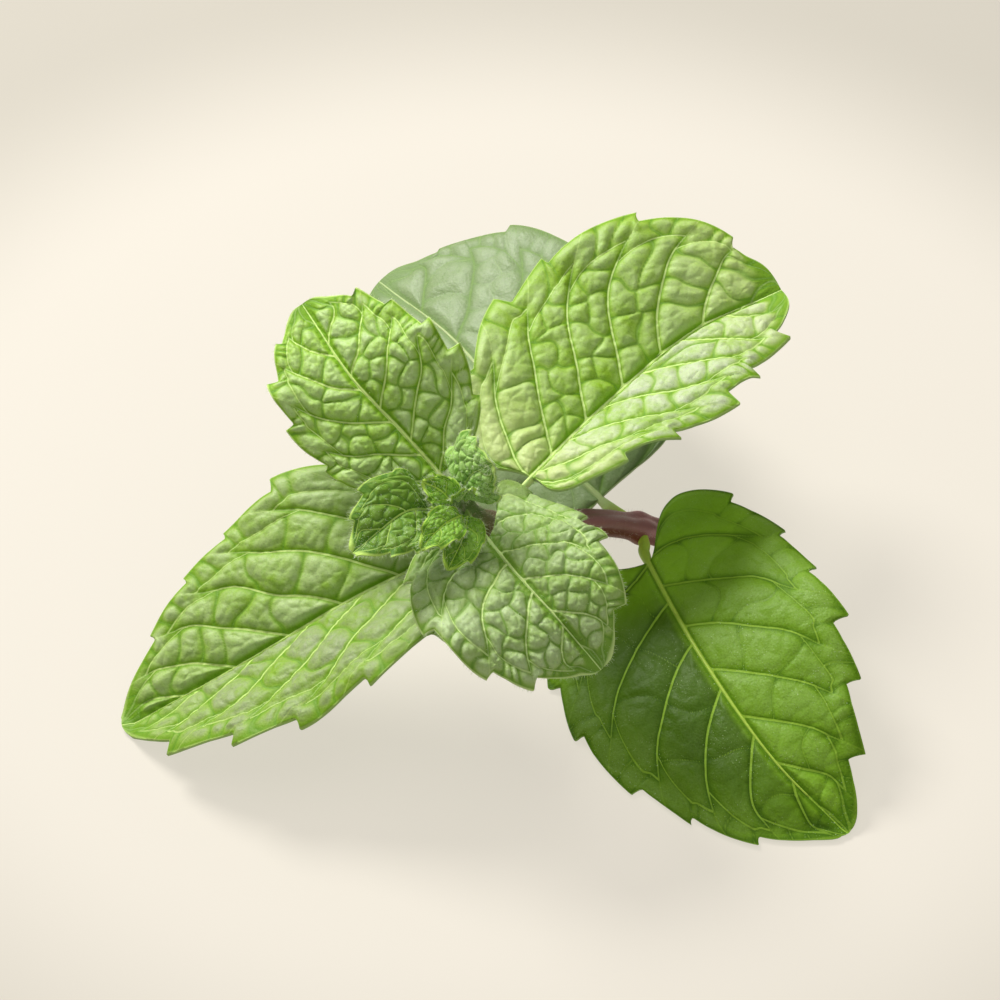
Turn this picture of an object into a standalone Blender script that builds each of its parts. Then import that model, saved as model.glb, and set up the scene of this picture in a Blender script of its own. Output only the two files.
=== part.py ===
# A cut sprig of spearmint lying on a flat surface: one square stem, four pairs of toothed
# leaves set crosswise up it, and the unopened leaves at its tip.
# Lengths are millimetres until the last step turns them into metres. X is right, Y is back, Z is up.

import math

import bpy
import numpy as np
from mathutils.geometry import delaunay_2d_cdt

MM = 0.001
ORIGIN = np.array([-1.8, 7.9, 0.0])  # middle of the sprig's footprint, taken off every point

# The blade is one thin sheet with a rib under its midrib that runs on as the petiole.
BLADE = 0.65
RIB_DEPTH = 1.0
RIB_HALF_WIDTH = 0.9
MIDRIB_GROOVE = 0.25
JOIN_GAP = 0.3  # clear space between a petiole and the stem
SWEEP = 0.55  # how far the side veins lean towards the leaf tip
CELL = 3.3  # length of the raised cells between the veins, halved on the small leaves
CELL_WALL = 0.2  # height of the net between cells, as a share of the cells' height
# Each point of a tooth: its share along the tooth, and its share of the tooth's depth.
TOOTH_POINTS = ((0.0, 0.0), (0.30, 0.22), (0.62, 0.62), (0.88, 1.0))
TOOTH_LEAN = 0.10  # how far a tooth tip reaches forward, as a share of the tooth spacing

# The stem from its cut end to its tip. Leaf pairs grow at its numbered joints.
STEM_PATH = [
    (33.5, 9.0, 1.4),
    (30.0, 8.6, 1.8),
    (25.5, 8.0, 4.2),
    (19.3, 6.5, 8.0),
    (12.1, 1.3, 14.5),
    (4.5, -4.0, 19.0),
    (-1.0, -7.2, 22.5),
    (-5.1, -10.4, 29.6),
    (-6.2, -13.2, 34.0),
]
STEM_JOINTS = {1: (19.3, 6.5, 8.0), 2: (-1.0, -7.2, 22.5), 3: (-5.1, -10.4, 29.6), 4: (-6.0, -12.7, 33.2)}
STEM_HALF_SIDE = (1.75, 1.25)  # at the cut end and at the tip
STEM_RINGS = 30
JOINT_SWELLING = 0.22
JOINT_LENGTH = 1.6

# Each leaf: the stem joint it grows from, its midrib from blade base to tip, which way its upper face
# looks at base, middle and tip, its half widths to the right and left of the midrib, the angle at which
# each half is raised, and how far each half then turns by its margin. A lobe is how far the blade
# reaches back past its base, hug is how closely its edge keeps to the petiole there, powers set how its
# width rises and closes, and puff is the cells' height.
LEAVES = {
    "leaf_1_front": dict(
        joint=1,
        midrib=[(20.2, 0.1, 8.0), (26.4, -16.9, 8.0), (34.8, -31.5, 5.0), (43.3, -39.5, 0.6)],
        face=[(-0.25, -0.2, 0.95), (-0.25, -0.3, 0.92), (-0.3, -0.2, 0.93)],
        half_width=(18.8, 18.0), fold=(4, 12), curl=(-14, -14), powers=(0.42, 0.72),
        lobe=(6, 14.5), hug=(0, 0.6),
        teeth=8, tooth=1.8, ribs=6, puff=0.8, wave=0.6, seed=1, colour=(0.07, 0.20, 0.03)),
    "leaf_1_back": dict(
        joint=1,
        midrib=[(13.8, 10.6, 10.0), (4.2, 21.9, 12.0), (-6.5, 40.7, 12.0), (-17.1, 55.2, 10.0)],
        face=[(0.0, -0.2, 0.98), (0.0, -0.1, 0.99), (-0.1, 0.0, 0.99)],
        half_width=(25.5, 18.0), fold=(28, -30), curl=(-10, -36), powers=(0.4, 0.55),
        lobe=(3, 3), hug=(0, 0),
        teeth=8, tooth=1.8, ribs=6, puff=0.9, wave=0.8, seed=2, colour=(0.27, 0.40, 0.18)),
    "leaf_2_left": dict(
        joint=2,
        midrib=[(-5.5, -10.5, 21.5), (-18.9, -15.0, 17.0), (-34.1, -19.6, 9.0), (-48.6, -22.2, 0.2)],
        face=[(-0.1, -0.15, 0.95), (-0.1, -0.15, 0.95), (-0.2, -0.15, 0.93)],
        half_width=(18.5, 16.5), fold=(28, 32), curl=(-20, -20), powers=(0.4, 0.7),
        lobe=(2, 2), hug=(0, 0),
        teeth=7, tooth=1.8, ribs=6, puff=0.95, wave=0.8, seed=3, colour=(0.13, 0.30, 0.04)),
    "leaf_2_right": dict(
        joint=2,
        midrib=[(4.0, 0.2, 24.0), (14.9, 13.1, 26.0), (26.0, 23.3, 29.0), (37.2, 28.9, 31.0)],
        face=[(-0.3, -0.3, 0.87), (-0.28, -0.36, 0.87), (-0.2, -0.3, 0.9)],
        half_width=(13.4, 20.0), fold=(28, 30), curl=(-16, -14), powers=(0.5, 0.46),
        lobe=(3, 6), hug=(0, 0),
        teeth=7, tooth=1.8, ribs=6, puff=0.95, wave=0.8, seed=4, colour=(0.15, 0.33, 0.06)),
    "leaf_3_back": dict(
        joint=3,
        midrib=[(-7.7, -6.4, 31.0), (-12.9, -2.2, 35.0), (-19.2, 2.8, 39.6), (-25.2, 12.2, 42.6)],
        face=[(0.0, -0.7, 0.7), (0.0, -0.7, 0.7), (0.0, -0.6, 0.8)],
        half_width=(11.8, 10.2), fold=(20, 16), curl=(-20, -24), powers=(0.4, 0.52),
        lobe=(1, 1), hug=(0, 0),
        teeth=7, tooth=1.3, ribs=5, puff=0.9, wave=0.6, seed=5, colour=(0.11, 0.28, 0.03)),
    "leaf_3_front": dict(
        joint=3,
        midrib=[(-1.6, -17.0, 30.2), (2.3, -24.3, 31.0), (6.8, -29.6, 29.4), (11.4, -32.9, 25.0)],
        face=[(0.0, -0.2, 0.97), (0.1, -0.4, 0.9), (0.25, -0.7, 0.6)],
        half_width=(12.8, 11.4), fold=(6, 20), curl=(-16, -30), powers=(0.36, 0.6),
        lobe=(5, 12), hug=(0, 0.2),
        teeth=6, tooth=1.7, ribs=4, puff=0.8, wave=0.6, seed=6, colour=(0.19, 0.35, 0.09)),
    "leaf_4_left": dict(
        joint=4,
        midrib=[(-9.0, -15.8, 34.2), (-12.2, -18.6, 36.2), (-17.7, -23.3, 34.6)],
        face=[(-0.2, -0.5, 0.85), (-0.2, -0.6, 0.75), (-0.4, -0.6, 0.7)],
        half_width=(5.5, 5.5), fold=(25, 25), curl=(-25, -25), powers=(0.45, 0.8),
        lobe=(0.4, 0.4), hug=(0, 0),
        teeth=5, tooth=0.7, ribs=3, puff=0.55, wave=0.4, seed=7, colour=(0.17, 0.34, 0.06)),
    "leaf_4_right": dict(
        joint=4,
        midrib=[(-4.8, -14.0, 35.4), (-3.6, -15.0, 39.2), (-1.2, -17.0, 42.8)],
        face=[(-0.5, -0.7, 0.5), (-0.5, -0.7, 0.5), (-0.5, -0.7, 0.3)],
        half_width=(4.6, 5.2), fold=(20, 20), curl=(-35, -35), powers=(0.45, 0.8),
        lobe=(0.4, 0.4), hug=(0, 0),
        teeth=5, tooth=0.6, ribs=3, puff=0.55, wave=0.4, seed=8, colour=(0.20, 0.38, 0.08)),
}
# The unopened leaves round the growing point, fused with its small core.
BUD_CORE = dict(centre=(-6.6, -15.1, 36.9), radius=(1.3, 1.3, 1.9))
BUD_LEAVES = [
    dict(midrib=[(-7.0, -14.6, 37.2), (-8.4, -14.8, 39.6), (-10.6, -15.6, 41.6)],
         face=[(0.3, -0.8, 0.5), (0.3, -0.8, 0.5), (0.2, -0.8, 0.6)], half_width=(2.4, 2.4), seed=9),
    dict(midrib=[(-6.4, -15.8, 37.0), (-5.6, -18.4, 38.8), (-4.4, -21.0, 38.8)],
         face=[(-0.2, 0.3, 0.95), (-0.2, 0.1, 0.98), (0.0, -0.3, 0.95)], half_width=(2.4, 2.4), seed=10),
]
BUD_LEAF_FORM = dict(fold=(30, 30), curl=(-20, -20), powers=(0.5, 0.8), lobe=(0, 0), hug=(0, 0),
                     teeth=4, tooth=0.4, ribs=3, puff=0.2, wave=0.1)


def clear_scene():
    for obj in list(bpy.data.objects):
        bpy.data.objects.remove(obj)


def unit(vectors):
    vectors = np.asarray(vectors, float)
    return vectors / np.linalg.norm(vectors, axis=-1, keepdims=True)


def smooth_curve(points, samples=160):
    """Points evenly spaced on a smooth curve through the given ones, and their distances along it."""
    points = np.asarray(points, float)
    padded = np.vstack([2 * points[0] - points[1], points, 2 * points[-1] - points[-2]])
    pieces = []
    for k in range(len(points) - 1):
        before, start, end, after = padded[k:k + 4]
        t = np.linspace(0, 1, 60, endpoint=False)[:, None]
        pieces.append(0.5 * (2 * start + (end - before) * t
                             + (2 * before - 5 * start + 4 * end - after) * t ** 2
                             + (3 * start - before - 3 * end + after) * t ** 3))
    dense = np.vstack(pieces + [points[-1:]])
    travel = np.concatenate([[0], np.cumsum(np.linalg.norm(np.diff(dense, axis=0), axis=1))])
    distance = np.linspace(0, travel[-1], samples)
    return np.stack([np.interp(distance, travel, dense[:, k]) for k in range(3)], 1), distance


def chance(number, seed):
    """A repeatable number from 0 to 1."""
    return np.modf(np.abs(np.sin(np.asarray(number) * 12.9898 + seed * 78.233) * 43758.5453))[0]


def interpolate(at, distance, vectors):
    return np.stack([np.interp(at, distance, vectors[:, k]) for k in range(3)], -1)


def petiole_root(leaf, blade_base):
    """The place nearest the stem joint where a petiole that runs to the blade base stands clear."""
    joint = np.array(STEM_JOINTS[leaf["joint"]], float)
    outward = unit(blade_base - joint)
    up = np.array(leaf["face"][0], float)
    up = unit(up - outward * (up @ outward))
    right = np.cross(outward, up)
    scale = leaf_scale(leaf)
    points, distance = smooth_curve(STEM_PATH)
    half = stem_half_sides(points, distance, distance)
    for reach in np.arange(1.0, 8.0, 0.05):
        corners = np.array([joint + outward * reach + right * side * RIB_HALF_WIDTH * scale - up * drop
                            for side in (-1, 1) for drop in (0, BLADE + (RIB_DEPTH + 0.5) * scale)])
        spare = np.linalg.norm(corners[:, None] - points, axis=2) - half * 1.18
        if spare.min() > JOIN_GAP:
            return joint + outward * reach
    return blade_base - outward


def leaf_frame(leaf):
    """The leaf's midrib with a tangent, an upward and a rightward direction along it.
    Distance 0 is the blade's base, and the petiole lies at negative distances."""
    path = np.array(leaf["midrib"], float)
    if "joint" in leaf:
        path = np.vstack([petiole_root(leaf, path[0]), path])
        base_point = 1
    else:
        base_point = 0
    points, distance = smooth_curve(path)
    base = distance[np.argmin(np.linalg.norm(points - path[base_point], axis=1))]
    tangent = unit(np.gradient(points, axis=0))
    share = np.clip((distance - base) / (distance[-1] - base), 0, 1)
    up = interpolate(share, np.linspace(0, 1, len(leaf["face"])), np.array(leaf["face"], float))
    up = unit(up - tangent * (up * tangent).sum(1, keepdims=True))
    return dict(points=points, distance=distance - base, tangent=tangent, up=up,
                right=np.cross(tangent, up), length=distance[-1] - base, root=-base)


def bend(leaf, frame, along, across, raised):
    """Turns flat leaf places (along the midrib, across it, raised off the blade) into points in space."""
    nearest = np.where(np.abs(across) > RIB_HALF_WIDTH * 1.3, 0.0, frame["root"])
    inside = np.clip(along, nearest, frame["length"])
    origin = interpolate(inside, frame["distance"], frame["points"])
    tangent = interpolate(inside, frame["distance"], frame["tangent"])
    up = interpolate(inside, frame["distance"], frame["up"])
    right = interpolate(inside, frame["distance"], frame["right"])
    side = np.where(across >= 0, 1.0, -1.0)
    reach = np.abs(across)
    share = np.clip(along / frame["length"], 0, 1)
    half = np.where(side > 0, leaf["half_width"][0], leaf["half_width"][1])
    opened = (0.4 + 0.6 * np.clip((along + 3) / 11, 0, 1)) * (1 - 0.25 * share)
    fold = np.radians(np.where(side > 0, leaf["fold"][0], leaf["fold"][1])) * opened
    turn = np.radians(np.where(side > 0, leaf["curl"][0], leaf["curl"][1])) / half
    turn = np.where(np.abs(turn) < 1e-6, 1e-6, turn)
    angle = fold + turn * reach
    outwards = (np.sin(angle) - np.sin(fold)) / turn
    upwards = (np.cos(fold) - np.cos(angle)) / turn
    turns = 2.2 * share + chance(leaf["seed"], side)
    ripple = leaf["wave"] * (reach / half) ** 2 * np.sin(2 * np.pi * turns)
    normal = up * np.cos(angle)[:, None] - right * (np.sin(angle) * side)[:, None]
    return (origin + tangent * (along - inside)[:, None] + right * (outwards * side)[:, None]
            + up * (upwards + ripple)[:, None] + normal * raised[:, None])


def blade_place(leaf, frame, t, v):
    """Flat place of the point t of the way along the veins' roots and v of the way out to the margin."""
    rise, close = leaf["powers"]
    widest = rise / (rise + close)
    share = t + SWEEP * t * (1 - t)
    shape = (share / widest) ** rise * ((1 - share) / (1 - widest)) ** close
    half = np.where(v >= 0, leaf["half_width"][0], leaf["half_width"][1]) * shape
    hug = np.where(v >= 0, leaf["hug"][0], leaf["hug"][1])
    half = half * (1 - hug * np.exp(-t / 0.025))
    out = np.abs(v)
    lobe = np.where(v >= 0, leaf["lobe"][0], leaf["lobe"][1]) * (1 - np.exp(-t / 0.015)) * (1 - t) ** 6
    along = frame["length"] * (t + SWEEP * t * (1 - t) * out ** 1.2) - lobe * out ** 1.5
    wander = 4 * out * (1 - out) * half / 18
    along = along + 0.8 * wander * np.sin(9 * t + 7 * out + leaf["seed"])
    return along, v * half + 0.5 * wander * np.sin(31 * t + 4 * out + leaf["seed"])


def margin_curve(leaf, frame, side, samples=400):
    """The smooth margin on one side, from base to tip, and the teeth passed on the way."""
    t = np.linspace(0, 1, samples) ** 1.5
    along, across = blade_place(leaf, frame, t, np.full(samples, float(side)))
    steps = np.hypot(np.diff(along), np.diff(across))
    travel = np.concatenate([[0], np.cumsum(steps)])
    return t, along, across, travel * leaf["teeth"] / travel[-1]


def tooth_starts(leaf, side):
    """Where each tooth starts on the margin, unevenly spaced, with the end of the last one."""
    starts = np.arange(leaf["teeth"] + 1.0)
    starts[1:-1] += 0.4 * (chance(starts[1:-1] + 30 * side, leaf["seed"]) - 0.5)
    return starts


def margin_points(leaf, frame, side):
    """The toothed margin on one side, a few points for each tooth."""
    t, along, across, passed = margin_curve(leaf, frame, side)
    spacing = np.hypot(along[-1] - along[0], 1) / leaf["teeth"]
    starts = tooth_starts(leaf, side)
    points = []
    for tooth in range(leaf["teeth"]):
        depth = leaf["tooth"] * (0.6 + 0.8 * chance(tooth + 10 * side, leaf["seed"]))
        depth *= min(1.0, 0.7 * tooth)
        for place, share in TOOTH_POINTS:
            if tooth + place == 0:
                continue
            at = starts[tooth] + place * (starts[tooth + 1] - starts[tooth])
            here = np.array([np.interp(at, passed, along), np.interp(at, passed, across)])
            ahead = np.array([np.interp(at + 0.05, passed, along), np.interp(at + 0.05, passed, across)])
            behind = np.array([np.interp(at - 0.05, passed, along), np.interp(at - 0.05, passed, across)])
            forward = unit(ahead - behind)
            outward = np.array([-forward[1], forward[0]]) * side
            points.append(here + outward * depth * share + forward * spacing * TOOTH_LEAN * share)
    return points


def net_bands(leaf, t, v):
    """How many half spacings of the side veins lie between a place and the leaf's base.
    Even numbers are side veins and odd ones the net's lines halfway between them."""
    return 2 * leaf["ribs"] * t + np.where(v >= 0, 0.0, 0.8)


def net_cells(leaf, frame, band, v):
    """How many cells lie between a place in the band and the midrib."""
    shift = np.where(v >= 0, 0.0, 0.8)
    middle = np.clip((band + 0.5 - shift) / (2 * leaf["ribs"]), 0.02, 0.98)
    reach = np.abs(blade_place(leaf, frame, middle, np.where(v >= 0, 1.0, -1.0))[1])
    count = np.maximum(2, np.round(reach / (CELL * leaf_scale(leaf))))
    return np.abs(v) * count + 0.5 * (band % 2) + 0.3 * chance(band, leaf["seed"])


def relief(leaf, frame, t, v):
    """Height of the raised cells between the side veins, with the low net of veins round them."""
    bands = net_bands(leaf, t, v)
    band = np.floor(bands)
    cells = net_cells(leaf, frame, band, v)
    across_band = np.abs(2 * (bands - band) - 1)
    across_cell = np.abs(2 * (cells - np.floor(cells)) - 1)
    dome = (1 - across_band ** 2.5) * (1 - across_cell ** 2.5)
    dome = dome * (0.75 + 0.4 * chance(band * 7 + np.floor(cells), leaf["seed"] + np.where(v >= 0, 0, 5)))
    from_rib = np.abs(bands / 2 - np.round(bands / 2)) * 2
    wall = CELL_WALL * np.clip(from_rib / 0.5, 0, 1)
    half = np.abs(blade_place(leaf, frame, t, np.where(v >= 0, 1.0, -1.0))[1])
    fade = np.clip((1 - np.abs(v)) * half / 1.6, 0, 1) * np.clip((np.abs(v) * half - 0.6) / 1.5, 0, 1)
    return leaf["puff"] * (wall + (1 - wall) * dome) * fade


def leaf_scale(leaf):
    """1 for a big leaf, and less for a small one whose parts are finer."""
    return min(1.0, leaf["half_width"][0] / 12)


def inner_points(leaf, frame):
    """Places on the veins, on the walls between the cells and on top of the cells, with their heights
    and the number of the side vein they lie on, or 0."""
    places = []
    for side in (1, -1):
        shift = 0.0 if side > 0 else 0.8
        for half_band in range(1, 4 * leaf["ribs"] + 2):
            band = math.floor(half_band / 2)
            t = (half_band / 2 - shift) / (2 * leaf["ribs"])
            if not 0.015 < t < 0.975:
                continue
            start, end = net_cells(leaf, frame, np.float64(band), np.array([1e-9, 1.0]) * side)
            first = math.ceil(2 * start)
            for step in range(first, math.floor(2 * end) + 1):
                v = (step / 2 - start) / (end - start)
                if 0.03 < v < 0.97:
                    places.append((t, side * v, half_band * side if half_band % 4 == 0 else 0))
    t, v, vein = np.array(places).T
    along, across = blade_place(leaf, frame, t, v)
    return np.stack([along, across, relief(leaf, frame, t, v), vein], 1)


def distance_to_line(points, line):
    """The least distance from each point to a closed line."""
    start, end = np.array(line), np.roll(np.array(line), -1, axis=0)
    step = end - start
    share = ((points[:, None] - start) * step).sum(2) / (step ** 2).sum(1)
    nearest = start + np.clip(share, 0, 1)[..., None] * step
    return np.linalg.norm(points[:, None] - nearest, axis=2).min(1)


def rib_depth(leaf, frame, along, across):
    """How far the rib stands down under the blade, thick in the petiole and thin at the tip."""
    share = np.clip(along / frame["length"], 0, 1)
    scale = leaf_scale(leaf)
    depth = np.where(along < 0, RIB_DEPTH, RIB_DEPTH * (1 - share) ** 0.7 * 0.9)
    middle = np.clip(1 - np.abs(across) / (RIB_HALF_WIDTH * 0.95), 0, 1)
    return depth * scale * np.sqrt(middle)


def leaf_flat_points(leaf, frame):
    """The leaf's outline, and its inner points with their heights and side veins, laid flat."""
    scale = leaf_scale(leaf)
    rib = RIB_HALF_WIDTH * scale
    right = margin_points(leaf, frame, 1)
    left = margin_points(leaf, frame, -1)
    petiole = -frame["root"]
    stalk = np.linspace(frame["root"], -0.4, max(2, int(petiole / 1.8) + 1)) if petiole > 1 else []
    outline = [(a, rib) for a in stalk] + [tuple(p) for p in right] + [(frame["length"] + leaf["tooth"], 0.0)]
    outline += [tuple(p) for p in reversed(left)] + [(a, -rib) for a in reversed(stalk)]
    net = inner_points(leaf, frame)
    inner = [net[np.abs(net[:, 1]) > rib + scale]]
    rows = np.linspace(0.4, frame["length"] * 0.97, 2 * leaf["ribs"] + 4)
    for at in (-rib, 0.0, rib):
        run = rows if at else np.concatenate([stalk[:-1], [-0.2], rows]) if len(stalk) else rows
        groove = -MIDRIB_GROOVE * scale if at == 0 else 0.0
        inner.append(np.stack([run, np.full(len(run), at), np.full(len(run), groove), 0 * run], 1))
    inner = np.vstack(inner)
    room = distance_to_line(inner[:, :2], outline)
    inner[:, 2] *= np.clip(room / (1.6 * scale), 0, 1)
    return outline, inner[room > 0.6 * scale]


def leaf_solid(leaf):
    """The leaf's points and faces: an upper and a lower sheet split alike, joined round the outline."""
    frame = leaf_frame(leaf)
    outline, inner = leaf_flat_points(leaf, frame)
    flat = [tuple(p) for p in outline] + [tuple(p[:2]) for p in inner]
    heights = np.concatenate([np.zeros(len(outline)), inner[:, 2]])
    first = len(outline)
    vein = inner[:, 3]
    veins = [(first + k, first + k + 1) for k in range(len(inner) - 1) if vein[k] and vein[k] == vein[k + 1]]
    placed, _, faces, sources, _, _ = delaunay_2d_cdt(flat, veins, [list(range(first))], 1, 1e-4)
    index = [source[0] for source in sources]
    along, across = np.array([tuple(p) for p in placed]).T
    raised = heights[index]
    scale = leaf_scale(leaf)
    thick = BLADE + rib_depth(leaf, frame, along, across) + np.where(along < -0.3, 0.5 * scale, 0)
    upper = bend(leaf, frame, along, across, raised)
    lower = bend(leaf, frame, along, across, raised - thick)
    lower[:, 2] = np.maximum(lower[:, 2], 0.0)
    upper[:, 2] = np.maximum(upper[:, 2], lower[:, 2] + BLADE * 0.95)
    count = len(upper)
    sheet = [tuple(f) for f in faces]
    corners = np.array([placed[k][:2] for k in sheet[0]])
    turned = np.cross(corners[1] - corners[0], corners[2] - corners[0]) < 0
    if not turned:
        sheet = [f[::-1] for f in sheet]
    edges = {(f[k], f[(k + 1) % 3]) for f in sheet for k in range(3)}
    rim = [(a, b) for a, b in edges if (b, a) not in edges]
    solid = sheet + [tuple(i + count for i in reversed(f)) for f in sheet]
    for a, b in rim:
        solid += [(b, a, a + count), (b, a + count, b + count)]
    return np.vstack([upper, lower]), solid


def stem_half_sides(points, distance, at):
    wide, narrow = STEM_HALF_SIDE
    half = wide + (narrow - wide) * at / distance[-1]
    for joint in STEM_JOINTS.values():
        place = distance[np.argmin(np.linalg.norm(points - np.array(joint), axis=1))]
        half = half * (1 + JOINT_SWELLING * np.exp(-((at - place) / JOINT_LENGTH) ** 2))
    return half


def stem_solid():
    """A square stem with rounded corners, swollen at each joint."""
    points, distance = smooth_curve(STEM_PATH)
    at = np.linspace(0, distance[-1], STEM_RINGS)
    centre = interpolate(at, distance, points)
    along = unit(np.gradient(centre, axis=0))
    along[0] = unit((along[0][0], along[0][1], 0.0))
    across = unit(np.cross(along, (0, 0, 1)))
    upward = np.cross(across, along)
    half = stem_half_sides(points, distance, at)
    profile = [(1, 0.62), (0.62, 1), (-0.62, 1), (-1, 0.62), (-1, -0.62), (-0.62, -1), (0.62, -1), (1, -0.62)]
    rings = [centre + (across * x + upward * z) * half[:, None] for x, z in profile]
    verts = np.stack(rings, 1).reshape(-1, 3)
    verts[:, 2] = np.maximum(verts[:, 2], 0.0)
    sides = len(profile)
    faces = [tuple(range(sides))]
    for ring in range(STEM_RINGS - 1):
        for k in range(sides):
            a, b = ring * sides + k, ring * sides + (k + 1) % sides
            faces.append((b, a, a + sides, b + sides))
    faces.append(tuple(reversed(range((STEM_RINGS - 1) * sides, STEM_RINGS * sides))))
    return verts, faces


def add_object(name, points, faces, material):
    mesh = bpy.data.meshes.new(name)
    mesh.from_pydata([tuple(p) for p in (np.asarray(points) - ORIGIN) * MM], [], faces)
    mesh.materials.append(material)
    obj = bpy.data.objects.new(name, mesh)
    bpy.context.scene.collection.objects.link(obj)
    mesh.shade_smooth()
    mesh.set_sharp_from_angle(angle=math.radians(75))
    return obj


def make_material(name, colour, roughness):
    material = bpy.data.materials.new(name)
    material.use_nodes = True
    shader = material.node_tree.nodes["Principled BSDF"]
    shader.inputs["Base Color"].default_value = (*colour, 1)
    shader.inputs["Roughness"].default_value = roughness
    shader.inputs["Metallic"].default_value = 0
    return material


def make_leaf(name, leaf):
    points, faces = leaf_solid(leaf)
    add_object(name, points, faces, make_material(name, leaf["colour"], 0.45))


def make_stem():
    points, faces = stem_solid()
    add_object("stem", points, faces, make_material("stem", (0.20, 0.08, 0.09), 0.45))


def make_shoot_tip():
    """The bud core with its unopened leaves, joined into one body."""
    material = make_material("shoot_tip", (0.20, 0.38, 0.06), 0.6)
    bpy.ops.mesh.primitive_uv_sphere_add(segments=10, ring_count=6, radius=1)
    core = bpy.context.object
    core.name = "shoot_tip"
    centre, radius = np.array(BUD_CORE["centre"]), BUD_CORE["radius"]
    for vertex in core.data.vertices:
        vertex.co = (np.array(vertex.co) * radius + centre - ORIGIN) * MM
    core.data.materials.append(material)
    parts = bpy.data.collections.new("bud leaves")
    for number, leaf in enumerate(BUD_LEAVES):
        points, faces = leaf_solid({**BUD_LEAF_FORM, **leaf})
        blade = add_object(f"bud_leaf_{number}", points, faces, material)
        bpy.context.scene.collection.objects.unlink(blade)
        parts.objects.link(blade)
    union = core.modifiers.new("join", "BOOLEAN")
    union.operation = "UNION"
    union.operand_type = "COLLECTION"
    union.collection = parts
    bpy.context.view_layer.objects.active = core
    bpy.ops.object.modifier_apply(modifier=union.name)
    for blade in list(parts.objects):
        bpy.data.objects.remove(blade)


def main():
    clear_scene()
    make_stem()
    for name, leaf in LEAVES.items():
        make_leaf(name, leaf)
    make_shoot_tip()


if __name__ == "__main__":
    main()
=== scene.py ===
import math

import bpy
import numpy as np
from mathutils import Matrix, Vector


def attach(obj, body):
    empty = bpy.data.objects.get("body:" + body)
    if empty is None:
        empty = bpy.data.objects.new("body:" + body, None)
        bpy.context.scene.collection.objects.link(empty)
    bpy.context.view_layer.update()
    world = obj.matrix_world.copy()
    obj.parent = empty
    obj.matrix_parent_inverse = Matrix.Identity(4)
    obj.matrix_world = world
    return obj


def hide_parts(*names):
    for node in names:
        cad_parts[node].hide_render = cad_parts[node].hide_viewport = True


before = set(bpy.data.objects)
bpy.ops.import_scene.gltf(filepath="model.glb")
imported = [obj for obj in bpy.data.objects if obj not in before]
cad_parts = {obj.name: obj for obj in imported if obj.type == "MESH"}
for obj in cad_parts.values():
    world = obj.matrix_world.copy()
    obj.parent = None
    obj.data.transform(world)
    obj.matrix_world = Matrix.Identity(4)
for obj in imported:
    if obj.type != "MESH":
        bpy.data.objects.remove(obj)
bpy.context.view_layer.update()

# A spearmint sprig. Leaf places are worked out in millimetres and turned into metres when a mesh is filled.
mm = 0.001
footprintMiddle = np.array([-1.8, 7.9, 0.0])

stemForm = dict(
    path=[(33.5, 9.0, 1.4), (30.0, 8.6, 1.8), (25.5, 8.0, 4.2), (19.3, 6.5, 8.0), (12.1, 1.3, 14.5),
          (4.5, -4.0, 19.0), (-1.0, -7.2, 22.5), (-5.1, -10.4, 29.6), (-6.2, -13.2, 34.0)],
    joints={1: (19.3, 6.5, 8.0), 2: (-1.0, -7.2, 22.5), 3: (-5.1, -10.4, 29.6), 4: (-6.0, -12.7, 33.2)},
    halfSide=(1.75, 1.25), swelling=0.22, swellingLength=1.6, cornerRoundness=4.5, groove=0.10,
    rings=190, around=64,
    skinLow=(0.17, 0.035, 0.016), skinHigh=(0.36, 0.15, 0.16), belly=(0.12, 0.10, 0.025),
    top=(0.07, 0.13, 0.02), spots=(0.50, 0.27, 0.22), cut=(0.50, 0.55, 0.30),
    hairs=900, hairLength=(0.25, 0.7), hairWidth=0.02, hairsAbove=0.8, hairColour=(0.62, 0.50, 0.45))

# Measures of every leaf. The first five set where a petiole starts, as in the solids.
leafForm = dict(bladeGap=0.65, ribDepth=1.0, ribHalfWidth=0.9, joinGap=0.3, farthestRoot=8.0,
                blade=0.38, veinUnder=0.22, sweep=0.55, lobeStart=0.015, lobePower=6,
                toothPlaces=(0.0, 0.30, 0.62, 0.88, 1.0), toothDepths=(0.0, 0.22, 0.62, 1.0, 0.0),
                toothLean=0.14, toothDroop=0.25, hairWidth=0.022, stalkAround=20)

# What a leaf has unless its own lines say otherwise. Pairs are for its right and left half, seen from above
# with the tip ahead. ribs counts the side veins, stalk is the petiole's half width, hug how far the margin
# closes in beside it, rim how far the margin takes the veins' colour, paintedSheen how far the cells' tops
# are painted pale in paintedSheenColour, a painted sheen. edgeHairs is per millimetre and faceHairs in all.
# Each leaf adds its place, its bends in degrees, and the cells: cell (their size), puff (height), net (how
# high the lines between them stay), sharp (their slopes). Some add paintedShade (painted shade on the right
# half), flecks, paintedEndLight and paintedEndLightColour (painted light on the tip and base),
# paintedSheenColourLeft or sideVein.
anyLeaf = dict(
    teeth=7, tooth=1.8, ribs=6, wave=0.8, ruffle=0.15, hug=(0, 0), stalk=0.42,
    puff=0.74, net=0.15, lean=1.3, facets=0.22, sharp=0.42, netWidth=0.07, netShow=0.16,
    rim=0.45, paintedSheen=(0.1, 0.1), paintedSheenColour=(0.50, 0.64, 0.32), under=(0.26, 0.40, 0.14),
    rough=0.50, gloss=0.40, downy=0.0, edgeHairs=0.0, faceHairs=0, hairLength=0.4)

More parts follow.
